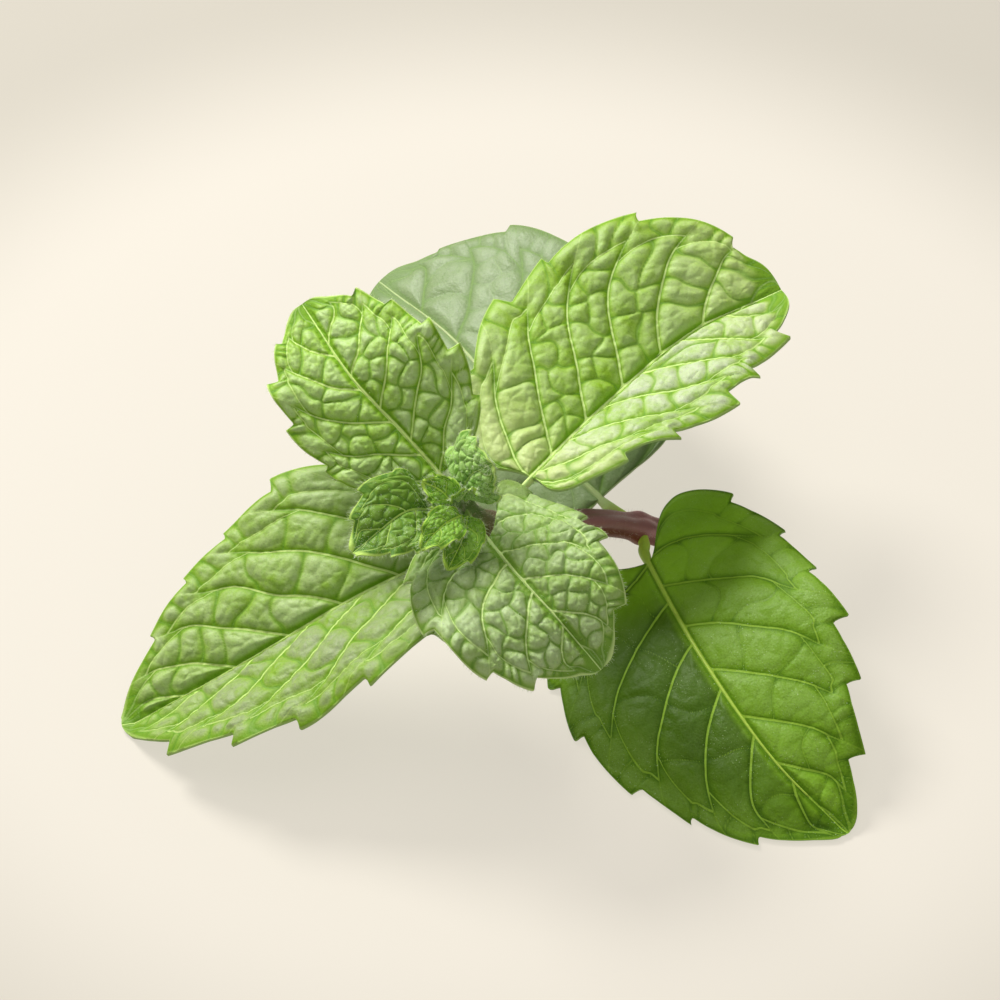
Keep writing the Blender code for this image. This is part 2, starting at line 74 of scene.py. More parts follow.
leaves = {
    "leaf_1_front": dict(
        anyLeaf, joint=1, seed=1, grid=(250, 161), teeth=8, wave=0.6,
        midrib=[(20.2, 0.1, 8.0), (26.4, -16.9, 8.0), (34.8, -31.5, 5.0), (43.3, -39.5, 0.6)],
        face=[(-0.25, -0.2, 0.95), (-0.25, -0.3, 0.92), (-0.3, -0.2, 0.93)],
        halfWidth=(18.8, 18.0), fold=(4, 12), curl=(-14, -14), powers=(0.42, 0.72), lobe=(6, 14.5),
        hug=(0, 0.6), cell=6.0, puff=0.50, net=0.35, lean=1.4, facets=0.20, sharp=0.34,
        midribWidth=0.38, veinWidth=0.15, netWidth=0.09, netShow=0.50, stalk=0.80, rough=0.40, gloss=0.14,
        groove=(0.045, 0.13, 0.001), crown=(0.145, 0.285, 0.010), vein=(0.24, 0.40, 0.035),
        under=(0.20, 0.33, 0.10), paintedShade=0.60, flecks=0.5, paintedEndLight=0.30),
    "leaf_1_back": dict(
        anyLeaf, joint=1, seed=2, grid=(240, 151), teeth=8,
        midrib=[(13.8, 10.6, 10.0), (4.2, 21.9, 12.0), (-6.5, 40.7, 12.0), (-17.1, 55.2, 10.0)],
        face=[(0.0, -0.2, 0.98), (0.0, -0.1, 0.99), (-0.1, 0.0, 0.99)],
        halfWidth=(25.5, 18.0), fold=(28, -30), curl=(-10, -36), powers=(0.4, 0.55), lobe=(3, 3),
        cell=4.8, puff=0.45, net=0.30, facets=0.05, sharp=0.55,
        midribWidth=0.40, veinWidth=0.14, netShow=0.25, stalk=0.95, rough=0.45,
        groove=(0.145, 0.25, 0.06), crown=(0.18, 0.26, 0.10), vein=(0.38, 0.48, 0.20),
        sideVein=(0.16, 0.27, 0.06), under=(0.36, 0.48, 0.24), paintedSheen=(0.5, 0.5), paintedSheenColour=(0.31, 0.40, 0.22)),
    "leaf_2_left": dict(
        anyLeaf, joint=2, seed=3, grid=(250, 171),
        midrib=[(-5.5, -10.5, 21.5), (-18.9, -15.0, 17.0), (-34.1, -19.6, 9.0), (-48.6, -22.2, 0.2)],
        face=[(-0.1, -0.15, 0.95), (-0.1, -0.15, 0.95), (-0.2, -0.15, 0.93)],
        halfWidth=(18.5, 16.5), fold=(28, 32), curl=(-20, -20), powers=(0.4, 0.7), lobe=(2, 2),
        cell=4.7, net=0.16, lean=2.2, midribWidth=0.28, veinWidth=0.135,
        groove=(0.10, 0.25, 0.003), crown=(0.21, 0.375, 0.010), vein=(0.50, 0.66, 0.19),
        paintedSheen=(0.52, 0.85), paintedSheenColour=(0.50, 0.59, 0.35), paintedSheenColourLeft=(0.28, 0.33, 0.18),
        paintedEndLight=0.35, paintedEndLightColour=(0.38, 0.50, 0.20)),
    "leaf_2_right": dict(
        anyLeaf, joint=2, seed=4, grid=(240, 171),
        midrib=[(4.0, 0.2, 24.0), (14.9, 13.1, 26.0), (26.0, 23.3, 29.0), (37.2, 28.9, 31.0)],
        face=[(-0.3, -0.3, 0.87), (-0.28, -0.36, 0.87), (-0.2, -0.3, 0.9)],
        halfWidth=(13.4, 20.0), fold=(28, 30), curl=(-16, -14), powers=(0.5, 0.46), lobe=(3, 6),
        cell=4.1, net=0.16, lean=1.6, midribWidth=0.30, veinWidth=0.135,
        groove=(0.105, 0.265, 0.003), crown=(0.265, 0.46, 0.017), vein=(0.60, 0.78, 0.26),
        paintedSheen=(0.90, 0.48), paintedSheenColour=(0.54, 0.60, 0.43), paintedSheenColourLeft=(0.48, 0.58, 0.34),
        paintedEndLight=0.40, paintedEndLightColour=(0.54, 0.64, 0.26)),
    "leaf_3_back": dict(
        anyLeaf, joint=3, seed=5, grid=(200, 141), tooth=1.3, ribs=5, wave=0.6, ruffle=0.5,
        midrib=[(-7.7, -6.4, 31.0), (-12.9, -2.2, 35.0), (-19.2, 2.8, 39.6), (-25.2, 12.2, 42.6)],
        face=[(0.0, -0.7, 0.7), (0.0, -0.7, 0.7), (0.0, -0.6, 0.8)],
        halfWidth=(11.8, 10.2), fold=(20, 16), curl=(-20, -24), powers=(0.4, 0.52), lobe=(1, 1),
        cell=2.8, facets=0.20, midribWidth=0.26, veinWidth=0.12, netWidth=0.06, netShow=0.18,
        groove=(0.105, 0.28, 0.003), crown=(0.275, 0.49, 0.015), vein=(0.60, 0.78, 0.24),
        under=(0.24, 0.38, 0.12), rim=0.7, paintedSheen=(0.62, 0.50), paintedSheenColour=(0.52, 0.64, 0.37),
        downy=0.2, edgeHairs=3.0, faceHairs=500, hairLength=0.45),
    "leaf_3_front": dict(
        anyLeaf, joint=3, seed=6, grid=(190, 161), teeth=6, tooth=1.7, ribs=4, wave=0.6, ruffle=0.5,
        midrib=[(-1.6, -17.0, 30.2), (2.3, -24.3, 31.0), (6.8, -29.6, 29.4), (11.4, -32.9, 25.0)],
        face=[(0.0, -0.2, 0.97), (0.1, -0.4, 0.9), (0.25, -0.7, 0.6)],
        halfWidth=(12.8, 11.4), fold=(6, 20), curl=(-16, -30), powers=(0.36, 0.6), lobe=(5, 12),
        hug=(0, 0.2), cell=2.5, puff=0.76, facets=0.24,
        midribWidth=0.22, veinWidth=0.12, netWidth=0.06, netShow=0.20,
        groove=(0.10, 0.24, 0.01), crown=(0.23, 0.38, 0.045), vein=(0.56, 0.72, 0.27),
        rim=0.8, paintedSheen=(0.52, 0.42), paintedSheenColour=(0.54, 0.64, 0.42),
        downy=0.2, edgeHairs=5.0, faceHairs=500, hairLength=0.5),
    "leaf_4_left": dict(
        anyLeaf, joint=4, seed=7, grid=(120, 97), teeth=5, tooth=0.7, ribs=3, wave=0.4, ruffle=0.45,
        midrib=[(-9.0, -15.8, 34.2), (-12.2, -18.6, 36.2), (-17.7, -23.3, 34.6)],
        face=[(-0.2, -0.5, 0.85), (-0.2, -0.6, 0.75), (-0.4, -0.6, 0.7)],
        halfWidth=(5.5, 5.5), fold=(25, 25), curl=(-25, -25), powers=(0.45, 0.8), lobe=(0.4, 0.4),
        cell=1.3, puff=0.38, lean=0.9, facets=0.08, sharp=0.55,
        midribWidth=0.14, veinWidth=0.07, netWidth=0.05, netShow=0.10, rough=0.45,
        groove=(0.05, 0.17, 0.002), crown=(0.13, 0.27, 0.006), vein=(0.46, 0.66, 0.12),
        under=(0.24, 0.38, 0.12), rim=0.9, paintedSheen=(0.2, 0.2), paintedSheenColour=(0.34, 0.48, 0.16),
        downy=0.6, edgeHairs=8.0, faceHairs=500, hairLength=0.65),
    "leaf_4_right": dict(
        anyLeaf, joint=4, seed=8, grid=(110, 91), teeth=5, tooth=0.6, ribs=3, wave=0.4, ruffle=0.35,
        midrib=[(-4.8, -14.0, 35.4), (-3.6, -15.0, 39.2), (-1.2, -17.0, 42.8)],
        face=[(-0.5, -0.7, 0.5), (-0.5, -0.7, 0.5), (-0.5, -0.7, 0.3)],
        halfWidth=(4.6, 5.6), fold=(2, 2), curl=(-40, -40), powers=(0.45, 0.8), lobe=(0.4, 0.4),
        cell=1.1, puff=0.36, lean=0.9, facets=0.06, sharp=0.55,
        midribWidth=0.12, veinWidth=0.06, netWidth=0.05, netShow=0.10, rough=0.45,
        groove=(0.09, 0.26, 0.005), crown=(0.34, 0.58, 0.13), vein=(0.48, 0.68, 0.15), rim=0.9,
        downy=0.8, edgeHairs=8.0, faceHairs=550, hairLength=0.65),
}


def unitRows(vectors):
    vectors = np.asarray(vectors, float)
    return vectors / np.maximum(np.linalg.norm(vectors, axis=-1, keepdims=True), 1e-12)


def chance(number, seed):
    return np.modf(np.abs(np.sin(np.asarray(number) * 12.9898 + seed * 78.233) * 43758.5453))[0]


def smoothStep(value, low, high):
    share = np.clip((value - low) / (high - low), 0, 1)
    return share * share * (3 - 2 * share)


def slowNoise(x, y, size, seed):
    # a smooth wandering number from about -1 to 1, with bumps of that size
    total = np.zeros_like(np.asarray(x, float))
    for k in range(6):
        turn = 2 * math.pi * chance(k + 1, seed)
        reach = (0.7 + 0.8 * chance(k + 11, seed)) * 2 * math.pi / (2.4 * size)
        total = total + np.sin((x * math.cos(turn) + y * math.sin(turn)) * reach + 7 * chance(k + 21, seed))
    return total / 2.6


def travelled(line):
    return np.concatenate([[0], np.cumsum(np.linalg.norm(np.diff(line, axis=0), axis=1))])


def smoothCurve(points):
    # a curve through the points, in even steps, with the distance travelled at each
    points = np.asarray(points, float)
    padded = np.vstack([2 * points[0] - points[1], points, 2 * points[-1] - points[-2]])
    pieces = []
    for k in range(len(points) - 1):
        before, start, end, after = padded[k:k + 4]
        t = np.linspace(0, 1, 60, endpoint=False)[:, None]
        square = 2 * before - 5 * start + 4 * end - after
        cube = 3 * start - before - 3 * end + after
        pieces.append(0.5 * (2 * start + (end - before) * t + square * t ** 2 + cube * t ** 3))
    dense = np.vstack(pieces + [points[-1:]])
    travel = travelled(dense)
    distance = np.linspace(0, travel[-1], 160)
    return np.stack([np.interp(distance, travel, dense[:, k]) for k in range(3)], 1), distance


def along3(at, distance, vectors):
    # the vectors that are given at those distances, read off at other ones
    return np.stack([np.interp(at, distance, vectors[:, k]) for k in range(3)], -1)


def stemHalf(points, distance, at):
    wide, narrow = stemForm["halfSide"]
    half = wide + (narrow - wide) * at / distance[-1]
    for joint in stemForm["joints"].values():
        place = distance[np.argmin(np.linalg.norm(points - np.array(joint), axis=1))]
        half = half * (1 + stemForm["swelling"] * np.exp(-((at - place) / stemForm["swellingLength"]) ** 2))
    return half


def leafSize(leaf):
    # 1 for a full-grown leaf, less for a young one
    return min(1.0, leaf["halfWidth"][0] / 12)


def petioleRoot(leaf, bladeBase):
    # the nearest place to the joint where a petiole of the solids would stand clear of the stem
    joint = np.array(stemForm["joints"][leaf["joint"]], float)
    outward = unitRows(bladeBase - joint)
    up = np.array(leaf["face"][0], float)
    up = unitRows(up - outward * (up @ outward))
    right = np.cross(outward, up)
    size = leafSize(leaf)
    points, distance = smoothCurve(stemForm["path"])
    half = stemHalf(points, distance, distance)
    deep = leafForm["bladeGap"] + (leafForm["ribDepth"] + 0.5) * size
    for reach in np.arange(1.0, leafForm["farthestRoot"], 0.05):
        corners = np.array([
            joint + outward * reach + right * side * leafForm["ribHalfWidth"] * size - up * drop
            for side in (-1, 1) for drop in (0, deep)])
        spare = np.linalg.norm(corners[:, None] - points, axis=2) - half * 1.18
        if spare.min() > leafForm["joinGap"]:
            return joint + outward * reach
    return bladeBase - outward


def layMidrib(leaf):
    # the midrib, with the petiole before it: distance is 0 where the blade begins and less on the petiole
    path = np.array(leaf["midrib"], float)
    basePoint = 0
    if "joint" in leaf:
        path = np.vstack([petioleRoot(leaf, path[0]), path])
        basePoint = 1
    points, distance = smoothCurve(path)
    base = distance[np.argmin(np.linalg.norm(points - path[basePoint], axis=1))]
    tangent = unitRows(np.gradient(points, axis=0))
    share = np.clip((distance - base) / (distance[-1] - base), 0, 1)
    up = along3(share, np.linspace(0, 1, len(leaf["face"])), np.array(leaf["face"], float))
    up = unitRows(up - tangent * (up * tangent).sum(1, keepdims=True))
    return dict(points=points, distance=distance - base, tangent=tangent, up=up, right=np.cross(tangent, up),
                length=distance[-1] - base, root=-base)


def ribAt(rib, along):
    return [along3(along, rib["distance"], rib[key]) for key in ("points", "tangent", "up", "right")]


def ofSide(isRight, pair):
    return np.where(isRight, pair[0], pair[1])


def bendBlade(leaf, rib, along, across, raised):
    # flat leaf places (along the midrib, across it, raised off the blade) to places in space
    inside = np.clip(along, 0.0, rib["length"])
    origin, tangent, up, right = ribAt(rib, inside)
    side = np.where(across >= 0, 1.0, -1.0)
    reach = np.abs(across)
    share = np.clip(along / rib["length"], 0, 1)
    half = ofSide(side > 0, leaf["halfWidth"])
    opened = (0.4 + 0.6 * np.clip((along + 3) / 11, 0, 1)) * (1 - 0.25 * share)
    fold = np.radians(ofSide(side > 0, leaf["fold"])) * opened
    turn = np.radians(ofSide(side > 0, leaf["curl"])) / half
    angle = fold + turn * reach
    outwards = (np.sin(angle) - np.sin(fold)) / turn
    upwards = (np.cos(fold) - np.cos(angle)) / turn
    waves = np.sin(2 * np.pi * (2.2 * share + chance(leaf["seed"], side)))
    ripple = leaf["wave"] * (reach / half) ** 2 * waves
    normal = up * np.cos(angle)[..., None] - right * (np.sin(angle) * side)[..., None]
    return (origin + tangent * (along - inside)[..., None] + right * (outwards * side)[..., None]
            + up * (upwards + ripple)[..., None] + normal * raised[..., None])


def baseLobe(leaf, t, side):
    # how far back the lobe beside the petiole reaches
    lobe = ofSide(np.asarray(side) > 0, leaf["lobe"])
    return lobe * (1 - np.exp(-t / leafForm["lobeStart"])) * (1 - t) ** leafForm["lobePower"]


def bladePlace(leaf, rib, t, v):
    # flat place of a blade point: t runs from base to tip, v from -1 at the left margin to 1 at the right one
    rise, close = leaf["powers"]
    widest = rise / (rise + close)
    share = t + leafForm["sweep"] * t * (1 - t)
    shape = (share / widest) ** rise * (np.maximum(1 - share, 0) / (1 - widest)) ** close
    half = ofSide(v >= 0, leaf["halfWidth"]) * shape
    half = half * (1 - ofSide(v >= 0, leaf["hug"]) * np.exp(-t / 0.025))
    out = np.abs(v)
    along = rib["length"] * (t + leafForm["sweep"] * t * (1 - t) * out ** 1.2)
    along = along - baseLobe(leaf, t, v) * out ** 1.5
    wander = 4 * out * (1 - out) * half / 18
    along = along + 0.3 * wander * np.sin(9 * t + 4 * out + leaf["seed"])
    return along, v * half + 0.25 * wander * np.sin(31 * t + 4 * out + leaf["seed"])


def marginTravel(leaf, rib, side):
    # points of one margin without its teeth, closer together near the base, and the distance travelled
    t = np.linspace(0, 1, 600) ** 1.5
    along, across = bladePlace(leaf, rib, t, np.full(len(t), float(side)))
    travel = np.concatenate([[0], np.cumsum(np.hypot(np.diff(along), np.diff(across)))])
    return t, along, across, travel


def gridColumns(leaf, rib, count):
    # column places that share out both the midrib and the two margins evenly
    (t, _, _, right), (_, _, _, left) = (marginTravel(leaf, rib, side) for side in (1, -1))
    evened = 0.3 * t + 0.35 * right / right[-1] + 0.35 * left / left[-1]
    return np.interp(np.linspace(0, 1, count), evened, t)


def toothStarts(leaf, side):
    # where each tooth of one margin starts, in mean tooth lengths, a little uneven
    starts = np.arange(leaf["teeth"] + 1.0)
    starts[1:-1] += 0.4 * (chance(starts[1:-1] + 30 * side, leaf["seed"]) - 0.5)
    return starts


def toothShift(leaf, rib, t, v):
    # how far the teeth push the margin, in flat millimetres, then how deep in a tooth and in which one it is
    along, across, depth, inTooth = (np.zeros_like(t) for _ in range(4))
    teeth = leaf["teeth"]
    for side in (1, -1):
        marginT, marginAlong, marginAcross, travel = marginTravel(leaf, rib, side)
        toothPlace = travel / travel[-1] * teeth
        passed = np.interp(t, marginT, toothPlace)
        index = np.interp(passed, toothStarts(leaf, side), np.arange(teeth + 1))
        spacing = np.hypot(marginAlong[-1] - marginAlong[0], 1) / teeth
        tooth = np.minimum(np.floor(index), teeth - 1)
        place = np.clip(index - tooth, 0, 1)
        young = np.minimum(1, 0.7 * tooth)
        reach = leaf["tooth"] * (0.6 + 0.8 * chance(tooth + 10 * side, leaf["seed"])) * young
        share = np.interp(place, leafForm["toothPlaces"], leafForm["toothDepths"])
        share = share + 0.10 * np.sin(math.pi * place) * (place < 0.88)
        ahead = passed + 0.05
        behind = np.maximum(passed - 0.05, 0)
        forwardAlong, forwardAcross = (
            np.interp(ahead, toothPlace, line) - np.interp(behind, toothPlace, line)
            for line in (marginAlong, marginAcross))
        size = np.maximum(np.hypot(forwardAlong, forwardAcross), 1e-9)
        forwardAlong, forwardAcross = forwardAlong / size, forwardAcross / size
        here = (v > 0) if side > 0 else (v < 0)
        fade = np.abs(v) ** 9
        lean = fade * spacing * leafForm["toothLean"] * share ** 1.5 * young
        push = fade * reach * share
        along = np.where(here, lean * forwardAlong - push * forwardAcross * side, along)
        across = np.where(here, lean * forwardAcross + push * forwardAlong * side, across)
        depth = np.where(here, fade * share * young, depth)
        inTooth = np.where(here, index, inTooth)
    tip = smoothStep(t, 0.95, 1.0)
    return along * (1 - tip) + leaf["tooth"] * tip, across * (1 - tip), depth * (1 - tip), inTooth


# The net of veins: how much later the left half's side veins start (leftShift), how far out the loop lies
# (loopOut, loopBulge), where the rows of cells end (innerRows, innerEnd) and the outer row lies (outerRow),
# all from 0 at the midrib to 1 at the margin. unevenness is how far a cell's middle strays in its row.
netForm = dict(leftShift=0.4, loopOut=0.73, loopBulge=0.13, innerRows=0.84, innerEnd=0.87, outerRow=0.91,
               unevenness=0.45, bend=0.16, lobeWidens=1.3, far=9.0)


def archForward(leaf, v):
    # how far a side vein has run forward by the time it is that far out, in spacings of the side veins
    out = np.abs(v)
    return leaf["lean"] * out + 0.35 * smoothStep(out, 0.60, 1.05)


def veinCount(leaf, t, v, along, across):
    # side veins passed from the base of that half of the leaf: whole numbers lie on a side vein
    shift = np.where(v >= 0, 0.0, netForm["leftShift"])
    wobble = 0.035 * slowNoise(along, across, leaf["cell"] * 1.1, leaf["seed"] + 0.3)
    wobble = wobble * smoothStep(np.abs(v), 0.02, 0.3)
    return leaf["ribs"] * t + shift - archForward(leaf, v) * (1 - 0.5 * t) + wobble


def loopOut(leaf, count):
    # how far out the looped vein inside the margin lies, from 0 at the midrib to 1 at the margin
    between = count - np.floor(count)
    bulge = netForm["loopBulge"] * np.sin(0.5 * np.pi * between) ** 0.8
    return netForm["loopOut"] + bulge + 0.015 * np.sin(5 * count + leaf["seed"])


def cellSeeds(leaf, rib, side, band):
    # middles of the cells between two side veins, inside the loop and outside it, in flat millimetres
    shift = 0.0 if side > 0 else netForm["leftShift"]
    seed = leaf["seed"]
    inner, outer = [], []
    middleT = np.clip((band + 0.5 - shift + archForward(leaf, 0.5) * 0.75) / leaf["ribs"], 0.03, 0.97)
    reach = abs(bladePlace(leaf, rib, np.float64(middleT), np.float64(side))[1])
    spacing = rib["length"] / leaf["ribs"]
    stretch = math.hypot(1, leaf["lean"] * spacing / max(reach, 1.0))
    bandGap = spacing / stretch
    veinLength = math.hypot(reach * stretch, baseLobe(leaf, middleT, side))
    rows = max(1, int(round(bandGap / leaf["cell"])))
    count = max(2, int(round(veinLength * 0.82 / leaf["cell"])))
    uneven = netForm["unevenness"]
    for row in range(rows):
        for step in range(-1, count + 1):
            number = 100 * band + 17 * row + step + (0 if side > 0 else 1000)
            v = step + 0.5 + 0.5 * (row % 2) + 0.5 * (chance(number, seed) - 0.5)
            v = netForm["innerRows"] * v / count
            offset = (row + 0.5 + uneven * (chance(number, seed + 1.7) - 0.5)) / rows
            if 0.01 < v < netForm["innerEnd"]:
                inner.append((band + offset, v))
    edge = max(2, int(round(spacing / leaf["cell"] * 1.9)))
    for step in range(edge):
        number = 100 * band + step + (0 if side > 0 else 1000)
        offset = (step + 0.5 + 0.4 * (chance(number, seed + 4.1) - 0.5)) / edge
        outer.append((band + offset, netForm["outerRow"] + 0.05 * (chance(number, seed + 2.9) - 0.5)))
    placed = []
    for group in (inner, outer):
        places = []
        for beta, v in group:
            t = (beta - shift) / leaf["ribs"]
            for _ in range(4):
                t = (beta - shift + archForward(leaf, v) * (1 - 0.5 * t)) / leaf["ribs"]
            t = min(max(t, 0.004), 0.996)
            places.append(bladePlace(leaf, rib, np.float64(t), np.float64(v * side)))
        placed.append(np.array(places).reshape(-1, 2))
    return placed


def borderDistance(places, seeds):
    # how far each place is from the border of the cell it is in, and which cell that is
    if len(seeds) < 2:
        return np.full(len(places), netForm["far"]), np.zeros(len(places), int)
    squares = ((places[:, None] - seeds) ** 2).sum(2)
    nearest = squares.argmin(1)
    own = squares[np.arange(len(places)), nearest]
    gaps = np.linalg.norm(seeds[nearest][:, None] - seeds, axis=2)
    gaps[gaps < 1e-9] = np.inf
    border = (squares - own[:, None]) / (2 * gaps)
    border[np.arange(len(places)), nearest] = np.inf
    return np.minimum(border.min(1), netForm["far"]), nearest


def facetDistance(x, y, size, seed):
    # border distance of a fine scatter of little facets
    cellX, cellY = np.floor(x / size), np.floor(y / size)
    points = []
    for dx in (-1, 0, 1):
        for dy in (-1, 0, 1):
            i, j = cellX + dx, cellY + dy
            points.append(((i + 0.5 + 0.8 * (chance(i * 3.1 + j * 7.7, seed) - 0.5)) * size,
                           (j + 0.5 + 0.8 * (chance(i * 5.3 + j * 2.9, seed + 3) - 0.5)) * size))
    px, py = np.array(points).reshape(9, 2, -1).transpose(1, 0, 2)
    squares = (x.ravel() - px) ** 2 + (y.ravel() - py) ** 2
    first, second = np.argsort(squares, axis=0)[:2]
    pick = np.arange(x.size)
    gap = np.hypot(px[first, pick] - px[second, pick], py[first, pick] - py[second, pick])
    return ((squares[second, pick] - squares[first, pick]) / (2 * np.maximum(gap, 1e-6))).reshape(x.shape)


def pillow(distance, width):
    # rises steeply from the border of a cell and is flat from that width inwards
    return 1 - (1 - np.clip(distance / width, 0, 1)) ** 2


def leafNet(leaf, rib, t, v, along, across):
    # everything that the relief and the colours need at each grid point of a leaf
    count = veinCount(leaf, t, v, along, across)
    side = np.where(v >= 0, 1, -1)
    steps = [np.gradient(a) for a in (along, across, count)]
    (alongI, alongJ), (acrossI, acrossJ), (countI, countJ) = steps
    area = alongI * acrossJ - alongJ * acrossI
    area = np.where(np.abs(area) < 1e-7, 1e-7, area)
    slopeAlong = (countI * acrossJ - countJ * acrossI) / area
    slopeAcross = (alongI * countJ - alongJ * countI) / area
    veinGap = np.clip(1 / np.maximum(np.hypot(slopeAlong, slopeAcross), 1e-6), 0.5, 14)
    sideVein = np.abs(count - np.round(count)) * veinGap
    half = np.abs(bladePlace(leaf, rib, t, np.where(v >= 0, 1.0, -1.0))[1])
    loop = (np.abs(v) - loopOut(leaf, count)) * half
    band = np.floor(count).astype(int)
    cell, bend = leaf["cell"], netForm["bend"] * leaf["cell"]
    bentAlong = along + bend * slowNoise(along, across, cell * 0.7, leaf["seed"] + 6)
    bentAcross = across + bend * slowNoise(along, across, cell * 0.7, leaf["seed"] + 7)
    cellEdge = np.full(t.shape, netForm["far"])
    cellNumber = np.zeros(t.shape)
    for oneSide in (1, -1):
        for oneBand in np.unique(band[side == oneSide]):
            seeds = cellSeeds(leaf, rib, oneSide, int(oneBand))
            for zone in (0, 1):
                here = (side == oneSide) & (band == oneBand) & ((loop > 0) == bool(zone))
                if here.any():
                    places = np.stack([bentAlong[here], bentAcross[here]], 1)
                    cellEdge[here], number = borderDistance(places, seeds[zone])
                    cellNumber[here] = number + 31 * zone + 57 * oneBand + (0 if oneSide > 0 else 999)
    half = np.hypot(half, netForm["lobeWidens"] * baseLobe(leaf, t, side))
    margin = (1 - np.abs(v)) * half
    outer = smoothStep(np.abs(v), 0.84, 0.96)
    border = np.minimum(np.minimum(cellEdge, sideVein + 4 * outer), np.minimum(np.abs(loop), np.abs(across)))
    return dict(count=count, veinGap=veinGap, sideVein=sideVein, loop=loop, cellEdge=cellEdge,
                cellNumber=cellNumber, half=half, margin=margin, border=border)


def leafRelief(leaf, net, t, v, along, across):
    # how far each grid point is raised, and how near it is to the top of its cell
    cell = leaf["cell"]
    lift = 0.8 + 0.35 * chance(net["cellNumber"], leaf["seed"])
    top = pillow(net["cellEdge"], leaf["sharp"] * cell * 0.9)
    cells = leaf["net"] + (1 - leaf["net"]) * top * lift
    sideWalls = pillow(net["sideVein"], cell * 0.45)
    loopWalls = 0.30 + 0.70 * pillow(np.abs(net["loop"]), cell * 0.42)
    midWall = smoothStep(np.abs(across), 0.1, 1.7 * leafSize(leaf))
    outer = smoothStep(np.abs(v), 0.80, 0.95)
    walls = np.minimum(sideWalls * (1 - outer) + outer, midWall) * loopWalls
    wavy = along + 0.3 * slowNoise(along, across, cell, leaf["seed"] + 9)
    facets = pillow(facetDistance(wavy, across, cell * 0.42, leaf["seed"]), cell * 0.17)
    fade = np.clip(net["margin"] / (0.5 + 0.1 * cell), 0, 1) * np.clip((net["half"] - 0.4) / 2.0, 0, 1)
    fade = fade * (1 - smoothStep(t, 0.93, 1.0))
    crown = cells * walls
    height = leaf["puff"] * (crown - leaf["facets"] * (1 - facets) * top) * fade
    height = height + 0.05 * leaf["puff"] * slowNoise(along, across, cell * 0.35, leaf["seed"] + 5) * fade
    return height, crown * fade


def deselectAll():
    for obj in list(bpy.context.selected_objects):
        obj.select_set(False)


def onlySelect(obj):
    deselectAll()
    obj.select_set(True)
    bpy.context.view_layer.objects.active = obj


def editMesh(obj, operator, **settings):
    onlySelect(obj)
    bpy.ops.object.mode_set(mode="EDIT")
    bpy.ops.mesh.select_all(action="SELECT")
    operator(**settings)
    bpy.ops.object.mode_set(mode="OBJECT")


def mergeDoubles(obj, gap):
    editMesh(obj, bpy.ops.mesh.remove_doubles, threshold=gap)


def turnOutwards(obj):
    editMesh(obj, bpy.ops.mesh.normals_make_consistent, inside=False)


def removeUvs(obj):
    for layer in list(obj.data.uv_layers):
        obj.data.uv_layers.remove(layer)


def addGrid(name, columns, rows):
    # a flat grid mesh, with the column and the row that each of its vertices is in
    deselectAll()
    bpy.ops.mesh.primitive_grid_add(x_subdivisions=columns - 1, y_subdivisions=rows - 1, size=2)
    obj = bpy.context.object
    obj.name = name
    obj.data.name = name
    removeUvs(obj)
    places = np.empty(len(obj.data.vertices) * 3)
    obj.data.vertices.foreach_get("co", places)
    places = places.reshape(-1, 3)
    x = np.unique(np.round(places[:, 0], 6))
    y = np.unique(np.round(places[:, 1], 6))
    column = np.searchsorted(x, places[:, 0] - 1e-5)
    row = np.searchsorted(y, places[:, 1] - 1e-5)
    return obj, column, row, len(x), len(y)


def fillPlaces(obj, points):
    points = (np.asarray(points) - footprintMiddle) * mm
    obj.data.vertices.foreach_set("co", points.astype(np.float32).ravel())
    obj.data.update()


def storeNumbers(obj, name, values, kind="FLOAT"):
    layer = obj.data.attributes.new(name, kind, "POINT")
    what = "vector" if kind == "FLOAT_VECTOR" else "value"
    layer.data.foreach_set(what, np.asarray(values, np.float32).ravel())


def readTriples(obj, layer, what):
    values = np.empty(len(obj.data.vertices) * 3, np.float32)
    layer.foreach_get(what, values)
    return values.reshape(-1, 3)


def smoothFaces(obj, angle):
    onlySelect(obj)
    bpy.ops.object.shade_smooth()
    bpy.ops.object.shade_smooth_by_angle(angle=math.radians(angle))


